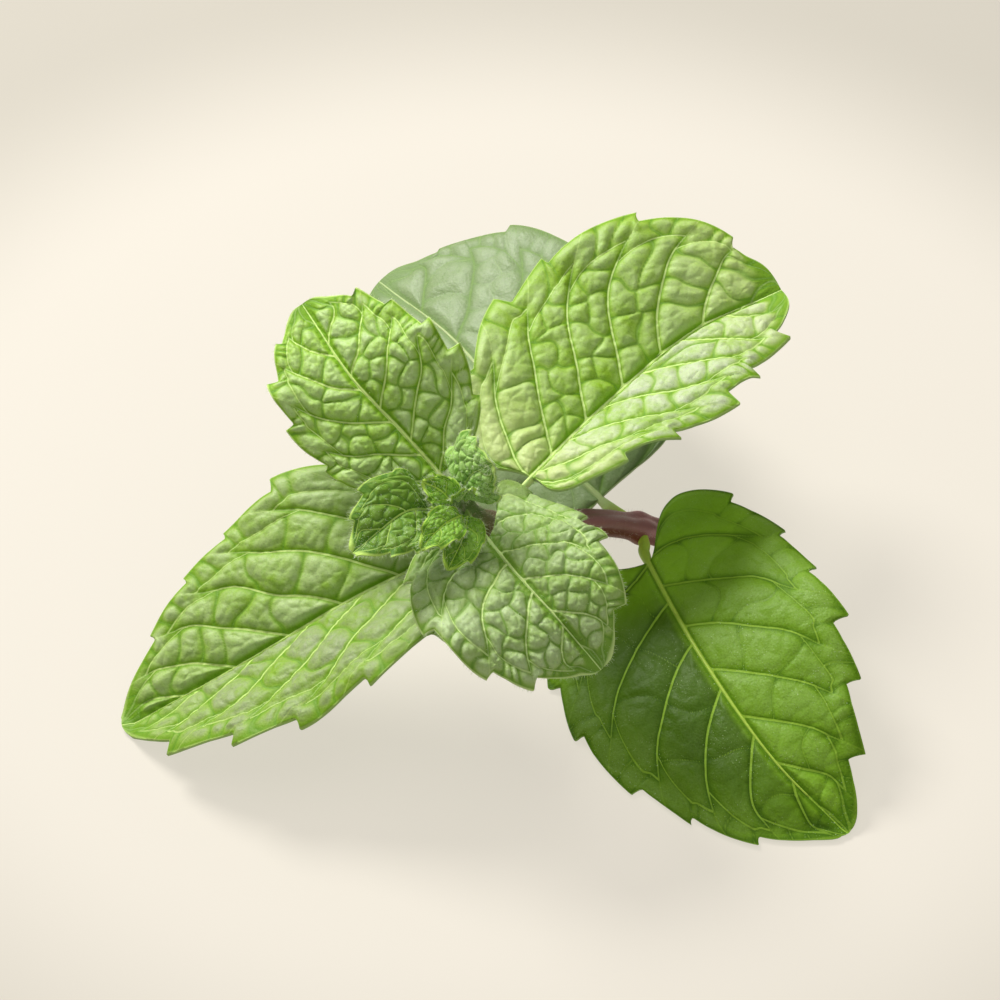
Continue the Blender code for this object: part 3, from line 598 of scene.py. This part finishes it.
def makeBlade(name, leaf):
    # one blade: a grid for its upper face, thickened, with the lower face moved to its own places
    rib = layMidrib(leaf)
    obj, column, row, columns, rows = addGrid(name, *leaf["grid"])
    t1 = gridColumns(leaf, rib, columns)
    v1 = np.linspace(-1, 1, rows)  # an odd count, so one row runs down the midrib
    v1 = np.sign(v1) * np.abs(v1) ** 0.96
    t, v = np.meshgrid(t1, v1, indexing="ij")
    along, across = bladePlace(leaf, rib, t, v)
    net = leafNet(leaf, rib, t, v, along, across)
    height, crown = leafRelief(leaf, net, t, v, along, across)
    pushAlong, pushAcross, depth, inTooth = toothShift(leaf, rib, t, v)
    height = height - leafForm["toothDroop"] * leaf["tooth"] * depth ** 2
    ruffle = np.sin(2 * np.pi * (inTooth * 0.9 + chance(np.sign(v) + 3, leaf["seed"])))
    height = height + leaf["ruffle"] * ruffle * np.abs(v) ** 7 * (1 - smoothStep(t, 0.9, 1.0))
    upper = bendBlade(leaf, rib, along + pushAlong, across + pushAcross, height)
    veinUnder = np.exp(-(net["sideVein"] / 0.35) ** 2) * (1 - smoothStep(np.abs(v), 0.8, 0.95))
    thick = leafForm["blade"] + veinUnder * leafForm["veinUnder"] * leafSize(leaf)
    lower = bendBlade(leaf, rib, along + pushAlong, across + pushAcross, height - thick)
    lower[..., 2] = np.maximum(lower[..., 2], 0.0)
    upper[..., 2] = np.maximum(upper[..., 2], lower[..., 2] + leafForm["blade"] * 0.9)
    fillPlaces(obj, upper[column, row])
    storeNumbers(obj, "lowPlace", (lower[column, row] - footprintMiddle) * mm, "FLOAT_VECTOR")
    stored = dict(share=t, out=np.abs(v), across=across, veinCount=net["count"], veinGap=net["veinGap"],
                  loopPlace=net["loop"], border=net["border"], crown=crown, margin=net["margin"])
    for key, values in stored.items():
        storeNumbers(obj, key, values[column, row])
    mergeDoubles(obj, 1e-7)
    count = len(obj.data.vertices)
    onlySelect(obj)
    modifier = obj.modifiers.new("thickness", "SOLIDIFY")
    modifier.thickness = leafForm["blade"] * mm
    modifier.offset = -1
    bpy.ops.object.modifier_apply(modifier=modifier.name)
    places = readTriples(obj, obj.data.vertices, "co")
    places[count:] = readTriples(obj, obj.data.attributes["lowPlace"].data, "vector")[count:]
    obj.data.vertices.foreach_set("co", places.ravel())
    obj.data.attributes.remove(obj.data.attributes["lowPlace"])
    storeNumbers(obj, "under", np.arange(len(places)) >= count)
    turnOutwards(obj)
    smoothFaces(obj, 70)
    normal = unitRows(np.cross(np.gradient(upper, axis=0), np.gradient(upper, axis=1)))
    up = ribAt(rib, np.clip(along, 0, rib["length"]))[2]
    normal = normal * np.sign((normal * up).sum(-1, keepdims=True) + 1e-9)
    return obj, dict(rib=rib, upper=upper, normal=normal, t=t, v=v)


def makeTube(name, centre, right, up, halfWide, halfHigh):
    # a closed oval tube through the centres, brought to a point at both ends
    obj, column, row, columns, rows = addGrid(name, len(centre), leafForm["stalkAround"] + 1)
    angle = np.linspace(0, 2 * math.pi, rows)
    cos, sin = np.cos(angle), np.sin(angle)
    halfWide, halfHigh = np.array(halfWide, float), np.array(halfHigh, float)
    halfWide[[0, -1]] = 0
    halfHigh[[0, -1]] = 0
    rings = (centre[:, None] + right[:, None] * (cos[None, :, None] * halfWide[:, None, None])
             + up[:, None] * (sin[None, :, None] * halfHigh[:, None, None]))
    rings[..., 2] = np.maximum(rings[..., 2], 0.0)
    fillPlaces(obj, rings[column, row])
    storeNumbers(obj, "lengthwise", (np.arange(columns)[:, None] / (columns - 1) + 0 * angle)[column, row])
    storeNumbers(obj, "height", (sin[None, :] + 0 * np.arange(columns)[:, None])[column, row])
    mergeDoubles(obj, 1e-6)
    turnOutwards(obj)
    return obj


def makePetiole(name, leaf, rib):
    # the stalk and the rib under the midrib, one tapered length from inside the stem to near the leaf's tip
    size = leafSize(leaf)
    along = np.concatenate([np.linspace(rib["root"], 0, 24), np.linspace(0, rib["length"] * 0.9, 60)[1:]])
    centre, _, up, right = ribAt(rib, along)
    share = np.clip(along / rib["length"], 0, 1)
    stalk = smoothStep(-along, -1.5, 3.0)
    wide = leaf["midribWidth"] * (1.25 - 0.95 * share ** 0.6) * (1 - stalk) + leaf["stalk"] * stalk
    high = size * (0.72 - 0.56 * share ** 0.5)
    lift = size * (0.07 + 0.10 * (1 - share) ** 2)
    centre = centre + up * (lift - high)[:, None]
    joint = np.array(stemForm["joints"][leaf["joint"]], float)
    inward = unitRows(joint - centre[0])
    lead = centre[0] + inward * np.linspace(np.linalg.norm(joint - centre[0]) * 0.6, 0.1, 5)[:, None]
    centre = np.vstack([lead, centre])
    up, right, wide, high = (np.concatenate([np.repeat(line[:1], len(lead), 0), line])
                             for line in (up, right, wide, high))
    return makeTube(name, centre, right, up, wide, high)


def makeStem(name):
    # the square stem with its grooved sides, closed at the cut end and at the top
    points, distance = smoothCurve(stemForm["path"])
    at = np.linspace(0, distance[-1], stemForm["rings"])
    centre = along3(at, distance, points)
    forward = unitRows(np.gradient(centre, axis=0))
    across = unitRows(np.cross(forward, (0, 0, 1)))
    upward = np.cross(across, forward)
    half = stemHalf(points, distance, at)
    obj, column, row, columns, rows = addGrid(name, stemForm["rings"], stemForm["around"] + 1)
    angle = np.linspace(0, 2 * math.pi, rows)
    power = stemForm["cornerRoundness"]
    radius = (np.abs(np.cos(angle)) ** power + np.abs(np.sin(angle)) ** power) ** (-1 / power)
    radius = radius * (1 - stemForm["groove"] * np.maximum(np.cos(2 * angle) ** 2, 0) ** 3)
    wobble = 0.012 * np.sin(at[:, None] * 1.1 + 2 * angle[None, :])
    reach = half[:, None] * radius[None, :] * (1 + wobble)
    rings = (centre[:, None] + across[:, None] * (reach * np.cos(angle))[..., None]
             + upward[:, None] * (reach * np.sin(angle))[..., None])
    rings[0] = centre[0]
    rings[1] = centre[0] + (rings[2] - centre[2]) * 0.97
    rings[-1] = centre[-1]
    rings[..., 2] = np.maximum(rings[..., 2], 0.0)
    fillPlaces(obj, rings[column, row])
    storeNumbers(obj, "lengthwise", ((at / distance[-1])[:, None] + 0 * angle)[column, row])
    storeNumbers(obj, "height", (np.sin(angle)[None, :] + 0 * at[:, None])[column, row])
    cut = np.zeros((columns, rows))
    cut[:2] = 1
    storeNumbers(obj, "cutEnd", cut[column, row])
    mergeDoubles(obj, 1e-6)
    turnOutwards(obj)
    smoothFaces(obj, 50)
    outward = unitRows(across[:, None] * np.cos(angle)[None, :, None]
                       + upward[:, None] * np.sin(angle)[None, :, None])
    return obj, rings, outward


def makeHairs(name, roots, directions, lengths, thickness):
    # fine hairs, one thin cone shape repeated in a single mesh
    deselectAll()
    bpy.ops.mesh.primitive_cone_add(vertices=3, radius1=1, radius2=0.25, depth=1)
    obj = bpy.context.object
    shape = np.array([v.co[:] for v in obj.data.vertices])
    faces = [list(p.vertices) for p in obj.data.polygons]
    directions = unitRows(directions)
    helper = np.where(np.abs(directions[:, 2:3]) > 0.9, np.array([[1.0, 0, 0]]), np.array([[0, 0, 1.0]]))
    sideA = unitRows(np.cross(directions, helper))
    sideB = np.cross(directions, sideA)
    points = (roots[:, None] + directions[:, None] * (shape[None, :, 2:3] + 0.5) * lengths[:, None, None]
              + sideA[:, None] * shape[None, :, 0:1] * thickness
              + sideB[:, None] * shape[None, :, 1:2] * thickness)
    allFaces = [[i + k * len(shape) for i in face] for k in range(len(roots)) for face in faces]
    mesh = bpy.data.meshes.new(name)
    mesh.from_pydata([tuple(p) for p in ((points.reshape(-1, 3) - footprintMiddle) * mm)], [], allFaces)
    old = obj.data
    obj.data = mesh
    bpy.data.meshes.remove(old)
    obj.name = name
    turnOutwards(obj)
    return obj


def leafHairs(name, leaf, laid):
    # down along both margins, then on the face
    pick = np.random.default_rng(leaf["seed"])
    upper, normal, t, v = laid["upper"], laid["normal"], laid["t"], laid["v"]
    roots, directions, lengths = [], [], []
    for edge in (0, -1):
        line = upper[:, edge]
        travel = travelled(line)
        count = int(travel[-1] * leaf["edgeHairs"])
        at = pick.uniform(0.02, 0.995, count) * travel[-1]
        outward = unitRows(upper[:, edge] - upper[:, 6 if edge == 0 else -7])
        here = along3(at, travel, line)
        out = along3(at, travel, outward)
        up = along3(at, travel, normal[:, edge])
        roots.append(here - up * 0.1)
        rise = pick.uniform(-0.5, 0.7, (count, 1))
        directions.append(out + up * rise + 0.45 * pick.normal(size=(count, 3)))
        lengths.append(leaf["hairLength"] * pick.uniform(0.5, 1.25, count))
    count = leaf["faceHairs"]
    i = pick.integers(4, upper.shape[0] - 4, count)
    j = pick.integers(3, upper.shape[1] - 3, count)
    roots.append(upper[i, j] - normal[i, j] * 0.05)
    directions.append(normal[i, j] + 0.55 * pick.normal(size=(count, 3)))
    lengths.append(leaf["hairLength"] * pick.uniform(0.4, 0.9, count))
    roots, directions, lengths = np.vstack(roots), np.vstack(directions), np.concatenate(lengths)
    return makeHairs(name, roots, directions, lengths, leafForm["hairWidth"])


class Signal:
    # one output of a material node, so that sums are written as sums
    def __init__(self, paint, socket):
        self.paint = paint
        self.socket = socket

    def __add__(self, other):
        return self.paint.sum("ADD", self, other)

    __radd__ = __add__

    def __mul__(self, other):
        return self.paint.sum("MULTIPLY", self, other)

    __rmul__ = __mul__

    def __sub__(self, other):
        return self.paint.sum("SUBTRACT", self, other)

    def __rsub__(self, other):
        return self.paint.sum("SUBTRACT", other, self)

    def __truediv__(self, other):
        return self.paint.sum("DIVIDE", self, other)

    def __abs__(self):
        return self.paint.sum("ABSOLUTE", self)


class Paint:
    def __init__(self, name):
        self.material = bpy.data.materials.new(name)
        self.material.use_nodes = True
        self.tree = self.material.node_tree
        self.tree.nodes.clear()

    def node(self, kind, settings=None, sockets=None):
        node = self.tree.nodes.new(kind)
        for key, value in (settings or {}).items():
            setattr(node, key, value)
        for key, value in (sockets or {}).items():
            if isinstance(value, Signal):
                self.tree.links.new(value.socket, node.inputs[key])
            else:
                node.inputs[key].default_value = value
        return node

    def signal(self, kind, output, settings=None, sockets=None):
        return Signal(self, self.node(kind, settings, sockets).outputs[output])

    def sum(self, operation, first, second=None):
        sockets = {0: first} if second is None else {0: first, 1: second}
        return self.signal("ShaderNodeMath", 0, dict(operation=operation), sockets)

    def stored(self, name):
        return self.signal("ShaderNodeAttribute", "Fac", dict(attribute_type="GEOMETRY", attribute_name=name))

    def place(self):
        return self.signal("ShaderNodeTexCoord", "Object")

    def noise(self, size, detail):
        return self.signal("ShaderNodeTexNoise", "Fac", None, {
            "Vector": self.place(), "Scale": 1 / (size * mm), "Detail": detail, "Roughness": 0.55})

    def band(self, value, start, end, low=0.0, high=1.0):
        # low below start, high above end, and smooth between
        return self.signal("ShaderNodeMapRange", "Result", dict(interpolation_type="SMOOTHSTEP"), {
            "Value": value, "From Min": start, "From Max": end, "To Min": low, "To Max": high})

    def most(self, first, second):
        return self.sum("MAXIMUM", first, second)

    def blend(self, factor, first, second, kind="MIX"):
        first, second = (one if isinstance(one, Signal) else (*one, 1) for one in (first, second))
        return self.signal("ShaderNodeMix", 2, dict(data_type="RGBA", clamp_factor=True, blend_type=kind),
                           {0: factor, 6: first, 7: second})

    def bump(self, strength, depth, height):
        return self.signal("ShaderNodeBump", 0, None,
                           {"Strength": strength, "Distance": depth * mm, "Height": height})

    def finish(self, colour, rough, glow=None, more=None):
        # glow: how much light spreads below the surface, its radius by colour and its scale in millimetres
        sockets = {"Base Color": colour, "Roughness": rough, **(more or {})}
        if glow:
            weight, radius, scale = glow
            sockets.update({"Subsurface Weight": weight, "Subsurface Radius": radius,
                            "Subsurface Scale": scale * mm})
        shader = self.signal("ShaderNodeBsdfPrincipled", 0, None, sockets)
        self.node("ShaderNodeOutputMaterial", None, {"Surface": shader})
        return self.material


def tinted(colour, factor, lift=0.0):
    return tuple(min(1, lift + factor * c) for c in colour)


def leafMaterial(name, leaf):
    paint = Paint(name)
    out, share, across, count, gap, crown, under, margin, border = (paint.stored(key) for key in (
        "out", "share", "across", "veinCount", "veinGap", "crown", "under", "margin", "border"))
    broad, fine, grain = paint.noise(6.0, 3), paint.noise(1.1, 4), paint.noise(0.24, 3)
    onRight = paint.band(across, -1.0, 1.0)
    # the lines: side veins and the loop, which fade towards the tip, the midrib, the net between the cells
    fading = 1 - 0.8 * paint.band(share, 0.84, 0.97)
    toVein = abs(paint.sum("FRACT", count + 0.5) - 0.5) * gap / (leaf["veinWidth"] * (1.25 - 0.65 * out))
    sideVein = (1 - paint.band(toVein, 0.60, 1.25)) * paint.band(out, 0.72, 0.80, 1.0, 0.3) * fading
    loop = (1 - paint.band(abs(paint.stored("loopPlace")) / leaf["veinWidth"], 0.3, 1.0)) * fading
    midrib = 1 - paint.band(abs(across) / (leaf["midribWidth"] * (1.08 - 0.85 * share)), 0.7, 1.15)
    lines = 1 - paint.band(border / leaf["netWidth"], 0.3, 1.6)
    # the cells: painted shade where they meet, the groove colour deepened along their borders, and painted
    # light towards their tops, in the crown colour
    lit = paint.band(crown * (0.85 + 0.3 * fine), 0.05, 0.45)
    valleyShade = 1 - paint.band(border, 0.04, 0.12 + 0.035 * leaf["cell"])
    body = paint.blend(0.40 + 0.60 * lit * (0.5 + broad) - 0.42 * valleyShade, leaf["groove"], leaf["crown"])
    # painted sheen: the cells' tops painted pale, more on one half of the leaf than on the other
    right, left = leaf["paintedSheen"]
    paintedSheenMask = paint.band(crown, 0.14, 0.62) * paint.band(broad + 0.5 * fine, 0.40, 0.95)
    paintedSheenColour = paint.blend(onRight, leaf.get("paintedSheenColourLeft", leaf["paintedSheenColour"]), leaf["paintedSheenColour"])
    body = paint.blend(paintedSheenMask * paint.band(across, -1.0, 1.0, left, right), body, paintedSheenColour)
    # the fine grain: pale specks only on the lit cell tops, partly the leaf's own grain and partly painted
    # glints, then darker specks all over
    body = paint.blend(paint.band(grain, 0.52, 0.70) * lit * 0.35, body, tinted(leaf["crown"], 1.1, 0.07))
    body = paint.blend(paint.band(grain, 0.46, 0.30) * 0.28, body, tinted(leaf["groove"], 0.7))
    # painted shade: the right half darkened, most near the midrib and less towards the margin
    if "paintedShade" in leaf:
        shaded = paint.blend(1.0, paint.blend(0.5, body, leaf["groove"]), [leaf["paintedShade"]] * 3, "MULTIPLY")
        body = paint.blend(paint.band(across, 0.2, 1.5) * paint.band(out, 0.45, 0.95, 1.0, 0.3), body, shaded)
    # the lines over the cells, then painted light on the tip and base, the margin and the flecks
    body = paint.blend(lines * leaf["netShow"], body, leaf["vein"])
    veins = paint.most(loop * 0.75, sideVein) * (0.78 + 0.3 * fine)
    body = paint.blend(veins, body, leaf.get("sideVein", leaf["vein"]))
    body = paint.blend(midrib * 0.95, body, tinted(leaf["vein"], 1.05))
    # painted light: the tip and the base lightened where the cells are lit
    if "paintedEndLight" in leaf:
        ends = paint.most(paint.band(share, 0.55, 1.0), paint.band(share, 0.25, 0.02) * 2.0)
        paintedEndLightColour = leaf.get("paintedEndLightColour", tinted(leaf["crown"], 1.9))
        body = paint.blend(ends * lit * leaf["paintedEndLight"], body, paintedEndLightColour)
    body = paint.blend((1 - paint.band(margin, 0.02, 0.14)) * leaf["rim"], body, leaf["vein"])
    if "flecks" in leaf:
        flecks = paint.band(paint.noise(0.20, 1), 0.68, 0.74) * paint.band(broad, 0.42, 0.60)
        body = paint.blend(flecks * leaf["flecks"], body, (0.50, 0.62, 0.34))
    backVeins = paint.most(sideVein, lines * 0.6)
    back = paint.blend(backVeins * 0.8, leaf["under"], tinted(leaf["under"], 1.2))
    rough = leaf["rough"] + 0.16 * (fine - 0.5) + 0.14 * (1 - lit)
    pits = paint.signal("ShaderNodeTexVoronoi", "Distance", dict(feature="F1"),
                        {"Vector": paint.place(), "Scale": 1 / (0.42 * mm), "Randomness": 1.0})
    return paint.finish(paint.blend(under, body, back), rough, (0.05, (0.5, 1.0, 0.2), 0.6),
                        {"Normal": paint.bump(0.50, 0.16, grain * 0.6 + pits * 0.4 + fine * 0.8), "IOR": 1.42,
                         "Specular IOR Level": leaf["gloss"], "Sheen Weight": 0.25 * leaf["downy"],
                         "Sheen Roughness": 0.5, "Sheen Tint": (0.85, 0.95, 0.75, 1)})


def petioleMaterial(name, near, far, under):
    # the stalk's colour near the stem, further out, and below
    paint = Paint(name)
    streak = paint.noise(0.9, 4)
    colour = paint.blend(paint.band(paint.stored("lengthwise"), 0.0, 0.3), near, far)
    colour = paint.blend(paint.band(paint.stored("height"), 0.1, -0.6) * 0.6, colour, under)
    colour = paint.blend(paint.band(streak, 0.45, 0.7) * 0.35, colour, tinted(far, 0.7))
    return paint.finish(colour, 0.36 + 0.2 * streak, (0.2, (0.6, 1.0, 0.3), 0.8),
                        {"Normal": paint.bump(0.3, 0.12, paint.noise(0.35, 3))})


def stemMaterial(name):
    paint = Paint(name)
    lengthwise, height = paint.stored("lengthwise"), paint.stored("height")
    fine, broad = paint.noise(0.5, 4), paint.noise(3.0, 3)
    skin = paint.blend(paint.band(height + (broad - 0.5) * 0.5, -0.35, 0.55), stemForm["skinLow"],
                       stemForm["skinHigh"])
    skin = paint.blend(paint.band(height, -0.5, -1.0) * 0.6, skin, stemForm["belly"])
    skin = paint.blend(paint.band(lengthwise + 0.1 * (broad - 0.5), 0.62, 0.9), skin, stemForm["top"])
    skin = paint.blend(paint.band(fine, 0.52, 0.75) * 0.3, skin, stemForm["spots"])
    colour = paint.blend(paint.stored("cutEnd"), skin, stemForm["cut"])
    return paint.finish(colour, 0.36 + 0.2 * fine, (0.1, (0.8, 0.4, 0.3), 0.7),
                        {"Normal": paint.bump(0.4, 0.15, fine + broad)})


def hairMaterial(name, colour):
    paint = Paint(name)
    tint = paint.blend(paint.noise(1.5, 2), colour, tinted(colour, 0.75))
    return paint.finish(tint, 0.35 + 0.2 * paint.noise(0.8, 2), (0.2, (0.5, 0.6, 0.4), 0.3))


def dress(obj, material, node=None):
    obj.data.materials.clear()
    obj.data.materials.append(material)
    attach(obj, "root")
    if node:
        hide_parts(node)


# The petioles' colours by joint near the stem, and the one that isn't the colour of its leaf's veins.
stalkNear = {1: (0.44, 0.62, 0.06), 2: (0.22, 0.38, 0.05), 3: (0.22, 0.38, 0.05), 4: (0.22, 0.38, 0.05)}
stalkFar = {"leaf_1_front": (0.38, 0.54, 0.06)}


def makeSprig():
    down = hairMaterial("leaf_down", (0.62, 0.74, 0.42))
    for name, leaf in leaves.items():
        blade, laid = makeBlade(f"blade_{name}", leaf)
        dress(blade, leafMaterial(f"{name}_skin", leaf), name)
        petiole = makePetiole(f"petiole_{name}", leaf, laid["rib"])
        smoothFaces(petiole, 60)
        far = stalkFar.get(name, leaf["vein"])
        dress(petiole, petioleMaterial(f"{name}_stalk", stalkNear[leaf["joint"]], far, leaf["under"]))
        if leaf["edgeHairs"] or leaf["faceHairs"]:
            dress(leafHairs(f"hairs_{name}", leaf, laid), down)
        print("made", name, "with", len(blade.data.polygons), "faces")


budForm = dict(
    centre=(-6.6, -15.1, 36.9), radius=(1.3, 1.3, 1.9),
    shared=dict(anyLeaf, fold=(30, 30), curl=(-20, -20), powers=(0.5, 0.8), lobe=(0, 0), teeth=4, tooth=0.4,
                ribs=3, wave=0.1, ruffle=0.25, grid=(60, 49), cell=0.7, puff=0.24, net=0.2, lean=0.6,
                facets=0.0, sharp=0.5, midribWidth=0.12, veinWidth=0.05, netWidth=0.04, netShow=0.10,
                groove=(0.08, 0.24, 0.004), crown=(0.20, 0.42, 0.015), vein=(0.44, 0.66, 0.08),
                under=(0.22, 0.38, 0.08), rim=0.9, downy=0.6, edgeHairs=8.0, faceHairs=160, hairLength=0.6),
    blades=[
        dict(midrib=[(-5.9, -17.0, 36.3), (-7.4, -16.4, 38.0), (-9.4, -15.7, 38.7)],
             face=[(0.2, -0.7, 0.6), (0.2, -0.7, 0.6), (0.1, -0.8, 0.6)], halfWidth=(2.0, 2.0), seed=9),
        dict(midrib=[(-4.9, -16.6, 36.2), (-4.2, -17.6, 38.4), (-3.4, -18.0, 39.6)],
             face=[(0.3, -0.8, 0.4), (0.3, -0.8, 0.3), (0.4, -0.8, 0.2)], halfWidth=(1.5, 1.5), seed=10),
        dict(midrib=[(-4.9, -18.2, 35.4), (-7.0, -20.6, 36.2), (-9.6, -23.6, 35.4)],
             face=[(0.1, -0.5, 0.8), (0.0, -0.5, 0.8), (-0.2, -0.6, 0.7)], halfWidth=(2.2, 2.6), seed=11),
        dict(midrib=[(-4.0, -17.4, 34.6), (-4.6, -20.6, 33.8), (-6.4, -23.6, 31.6)],
             face=[(0.0, -0.4, 0.9), (0.0, -0.6, 0.8), (0.0, -0.8, 0.6)], halfWidth=(2.6, 2.6), seed=12),
    ])


def makeShootTip():
    deselectAll()
    bpy.ops.mesh.primitive_uv_sphere_add(segments=32, ring_count=20, radius=1)
    core = bpy.context.object
    core.name = "bud_core"
    shape = np.array([v.co[:] for v in core.data.vertices])
    lumps = 1 + 0.10 * np.sin(9 * shape[:, 0] + 3) * np.sin(8 * shape[:, 1]) * np.sin(7 * shape[:, 2] + 1)
    fillPlaces(core, np.array(budForm["centre"]) + shape * lumps[:, None] * budForm["radius"])
    removeUvs(core)
    smoothFaces(core, 60)
    leafy = leafMaterial("shoot_tip_skin", {**budForm["shared"], **budForm["blades"][0]})
    dress(core, leafy, "shoot_tip")
    down = hairMaterial("bud_down", (0.66, 0.78, 0.45))
    for number, one in enumerate(budForm["blades"]):
        leaf = {**budForm["shared"], **one}
        blade, laid = makeBlade(f"bud_leaf_{number + 1}", leaf)
        dress(blade, leafy)
        dress(leafHairs(f"hairs_bud_leaf_{number + 1}", leaf, laid), down)
    print("made the shoot tip")


def makeStemPieces():
    stem, rings, outward = makeStem("stem_skin")
    dress(stem, stemMaterial("stem_skin"), "stem")
    pick = np.random.default_rng(77)
    i = pick.integers(3, rings.shape[0] - 2, stemForm["hairs"])
    j = pick.integers(0, rings.shape[1], stemForm["hairs"])
    clear = rings[i, j, 2] > stemForm["hairsAbove"]  # none of them reaches below the surface
    i, j = i[clear], j[clear]
    roots = rings[i, j] - outward[i, j] * 0.05
    directions = outward[i, j] + 0.5 * pick.normal(size=(len(i), 3))
    lengths = pick.uniform(*stemForm["hairLength"], len(i))
    hairs = makeHairs("hairs_stem", roots, directions, lengths, stemForm["hairWidth"])
    dress(hairs, hairMaterial("stem_down", stemForm["hairColour"]))
    print("made the stem")


studio = dict(
    aim=(0.0018, -0.0079, 0.020), distance=0.370, elevation=45, lens=100, sensor=36, nearest=0.01,
    floorSize=6, floorDrop=0.0003, floor=(0.205, 0.192, 0.168), floorShadedEdge=(0.158, 0.148, 0.127),
    floorMiddle=(0.004, 0.015, 0.0), floorFade=(0.080, 0.130), floorGlow=3.12,
    world=(1.0, 0.98, 0.93), worldStrength=0.15, lampColour=(1.0, 0.98, 0.95), lampAim=(0.0, 0.0, 0.02),
    lamps=[("key_lamp", (-0.30, 0.32, 0.48), 0.26, 5.7),
           ("top_lamp", (0.0, -0.05, 0.75), 0.60, 1.6),
           ("front_fill", (0.25, -0.60, 0.35), 0.50, 0.6)])


def pointAt(holder, place, aim):
    # puts a lamp or the camera in the scene, looking at a place
    bpy.context.scene.collection.objects.link(holder)
    holder.location = place
    holder.rotation_euler = (aim - holder.location).to_track_quat("-Z", "Y").to_euler()


def makeStudio():
    scene = bpy.context.scene
    scene.view_settings.view_transform = "Standard"
    deselectAll()
    bpy.ops.mesh.primitive_grid_add(x_subdivisions=8, y_subdivisions=8, size=studio["floorSize"],
                                    location=(0, 0, -studio["floorDrop"]))
    floor = bpy.context.object
    floor.name = "floor"
    paint = Paint("floor")
    apart = paint.signal("ShaderNodeVectorMath", "Value", dict(operation="DISTANCE"),
                         {0: paint.place(), 1: studio["floorMiddle"]})
    # painted shade: the floor's tint darkens towards its edges, a painted fall-off of the light; the floor
    # glows with that tint, which keeps the shadows on it faint
    tint = paint.blend(paint.band(apart, *studio["floorFade"]), studio["floor"], studio["floorShadedEdge"])
    floor.data.materials.append(paint.finish(tint, 0.9, None, {
        "Specular IOR Level": 0.1, "Emission Color": tint, "Emission Strength": studio["floorGlow"]}))
    world = bpy.data.worlds.new("studio")
    scene.world = world
    world.use_nodes = True
    background = world.node_tree.nodes["Background"].inputs
    background["Color"].default_value = (*studio["world"], 1)
    background["Strength"].default_value = studio["worldStrength"]
    for name, place, size, power in studio["lamps"]:
        lamp = bpy.data.lights.new(name, "AREA")
        lamp.shape = "DISK"
        lamp.size = size
        lamp.energy = power
        lamp.color = studio["lampColour"]
        pointAt(bpy.data.objects.new(name, lamp), Vector(place), Vector(studio["lampAim"]))
    camera = bpy.data.cameras.new("camera")
    camera.lens = studio["lens"]
    camera.sensor_width = studio["sensor"]
    camera.clip_start = studio["nearest"]
    holder = bpy.data.objects.new("camera", camera)
    tilt = math.radians(studio["elevation"])
    aim = Vector(studio["aim"])
    pointAt(holder, aim + Vector((0, -math.cos(tilt), math.sin(tilt))) * studio["distance"], aim)
    scene.camera = holder
    print("studio ready")


makeStudio()
makeStemPieces()
makeSprig()
makeShootTip()
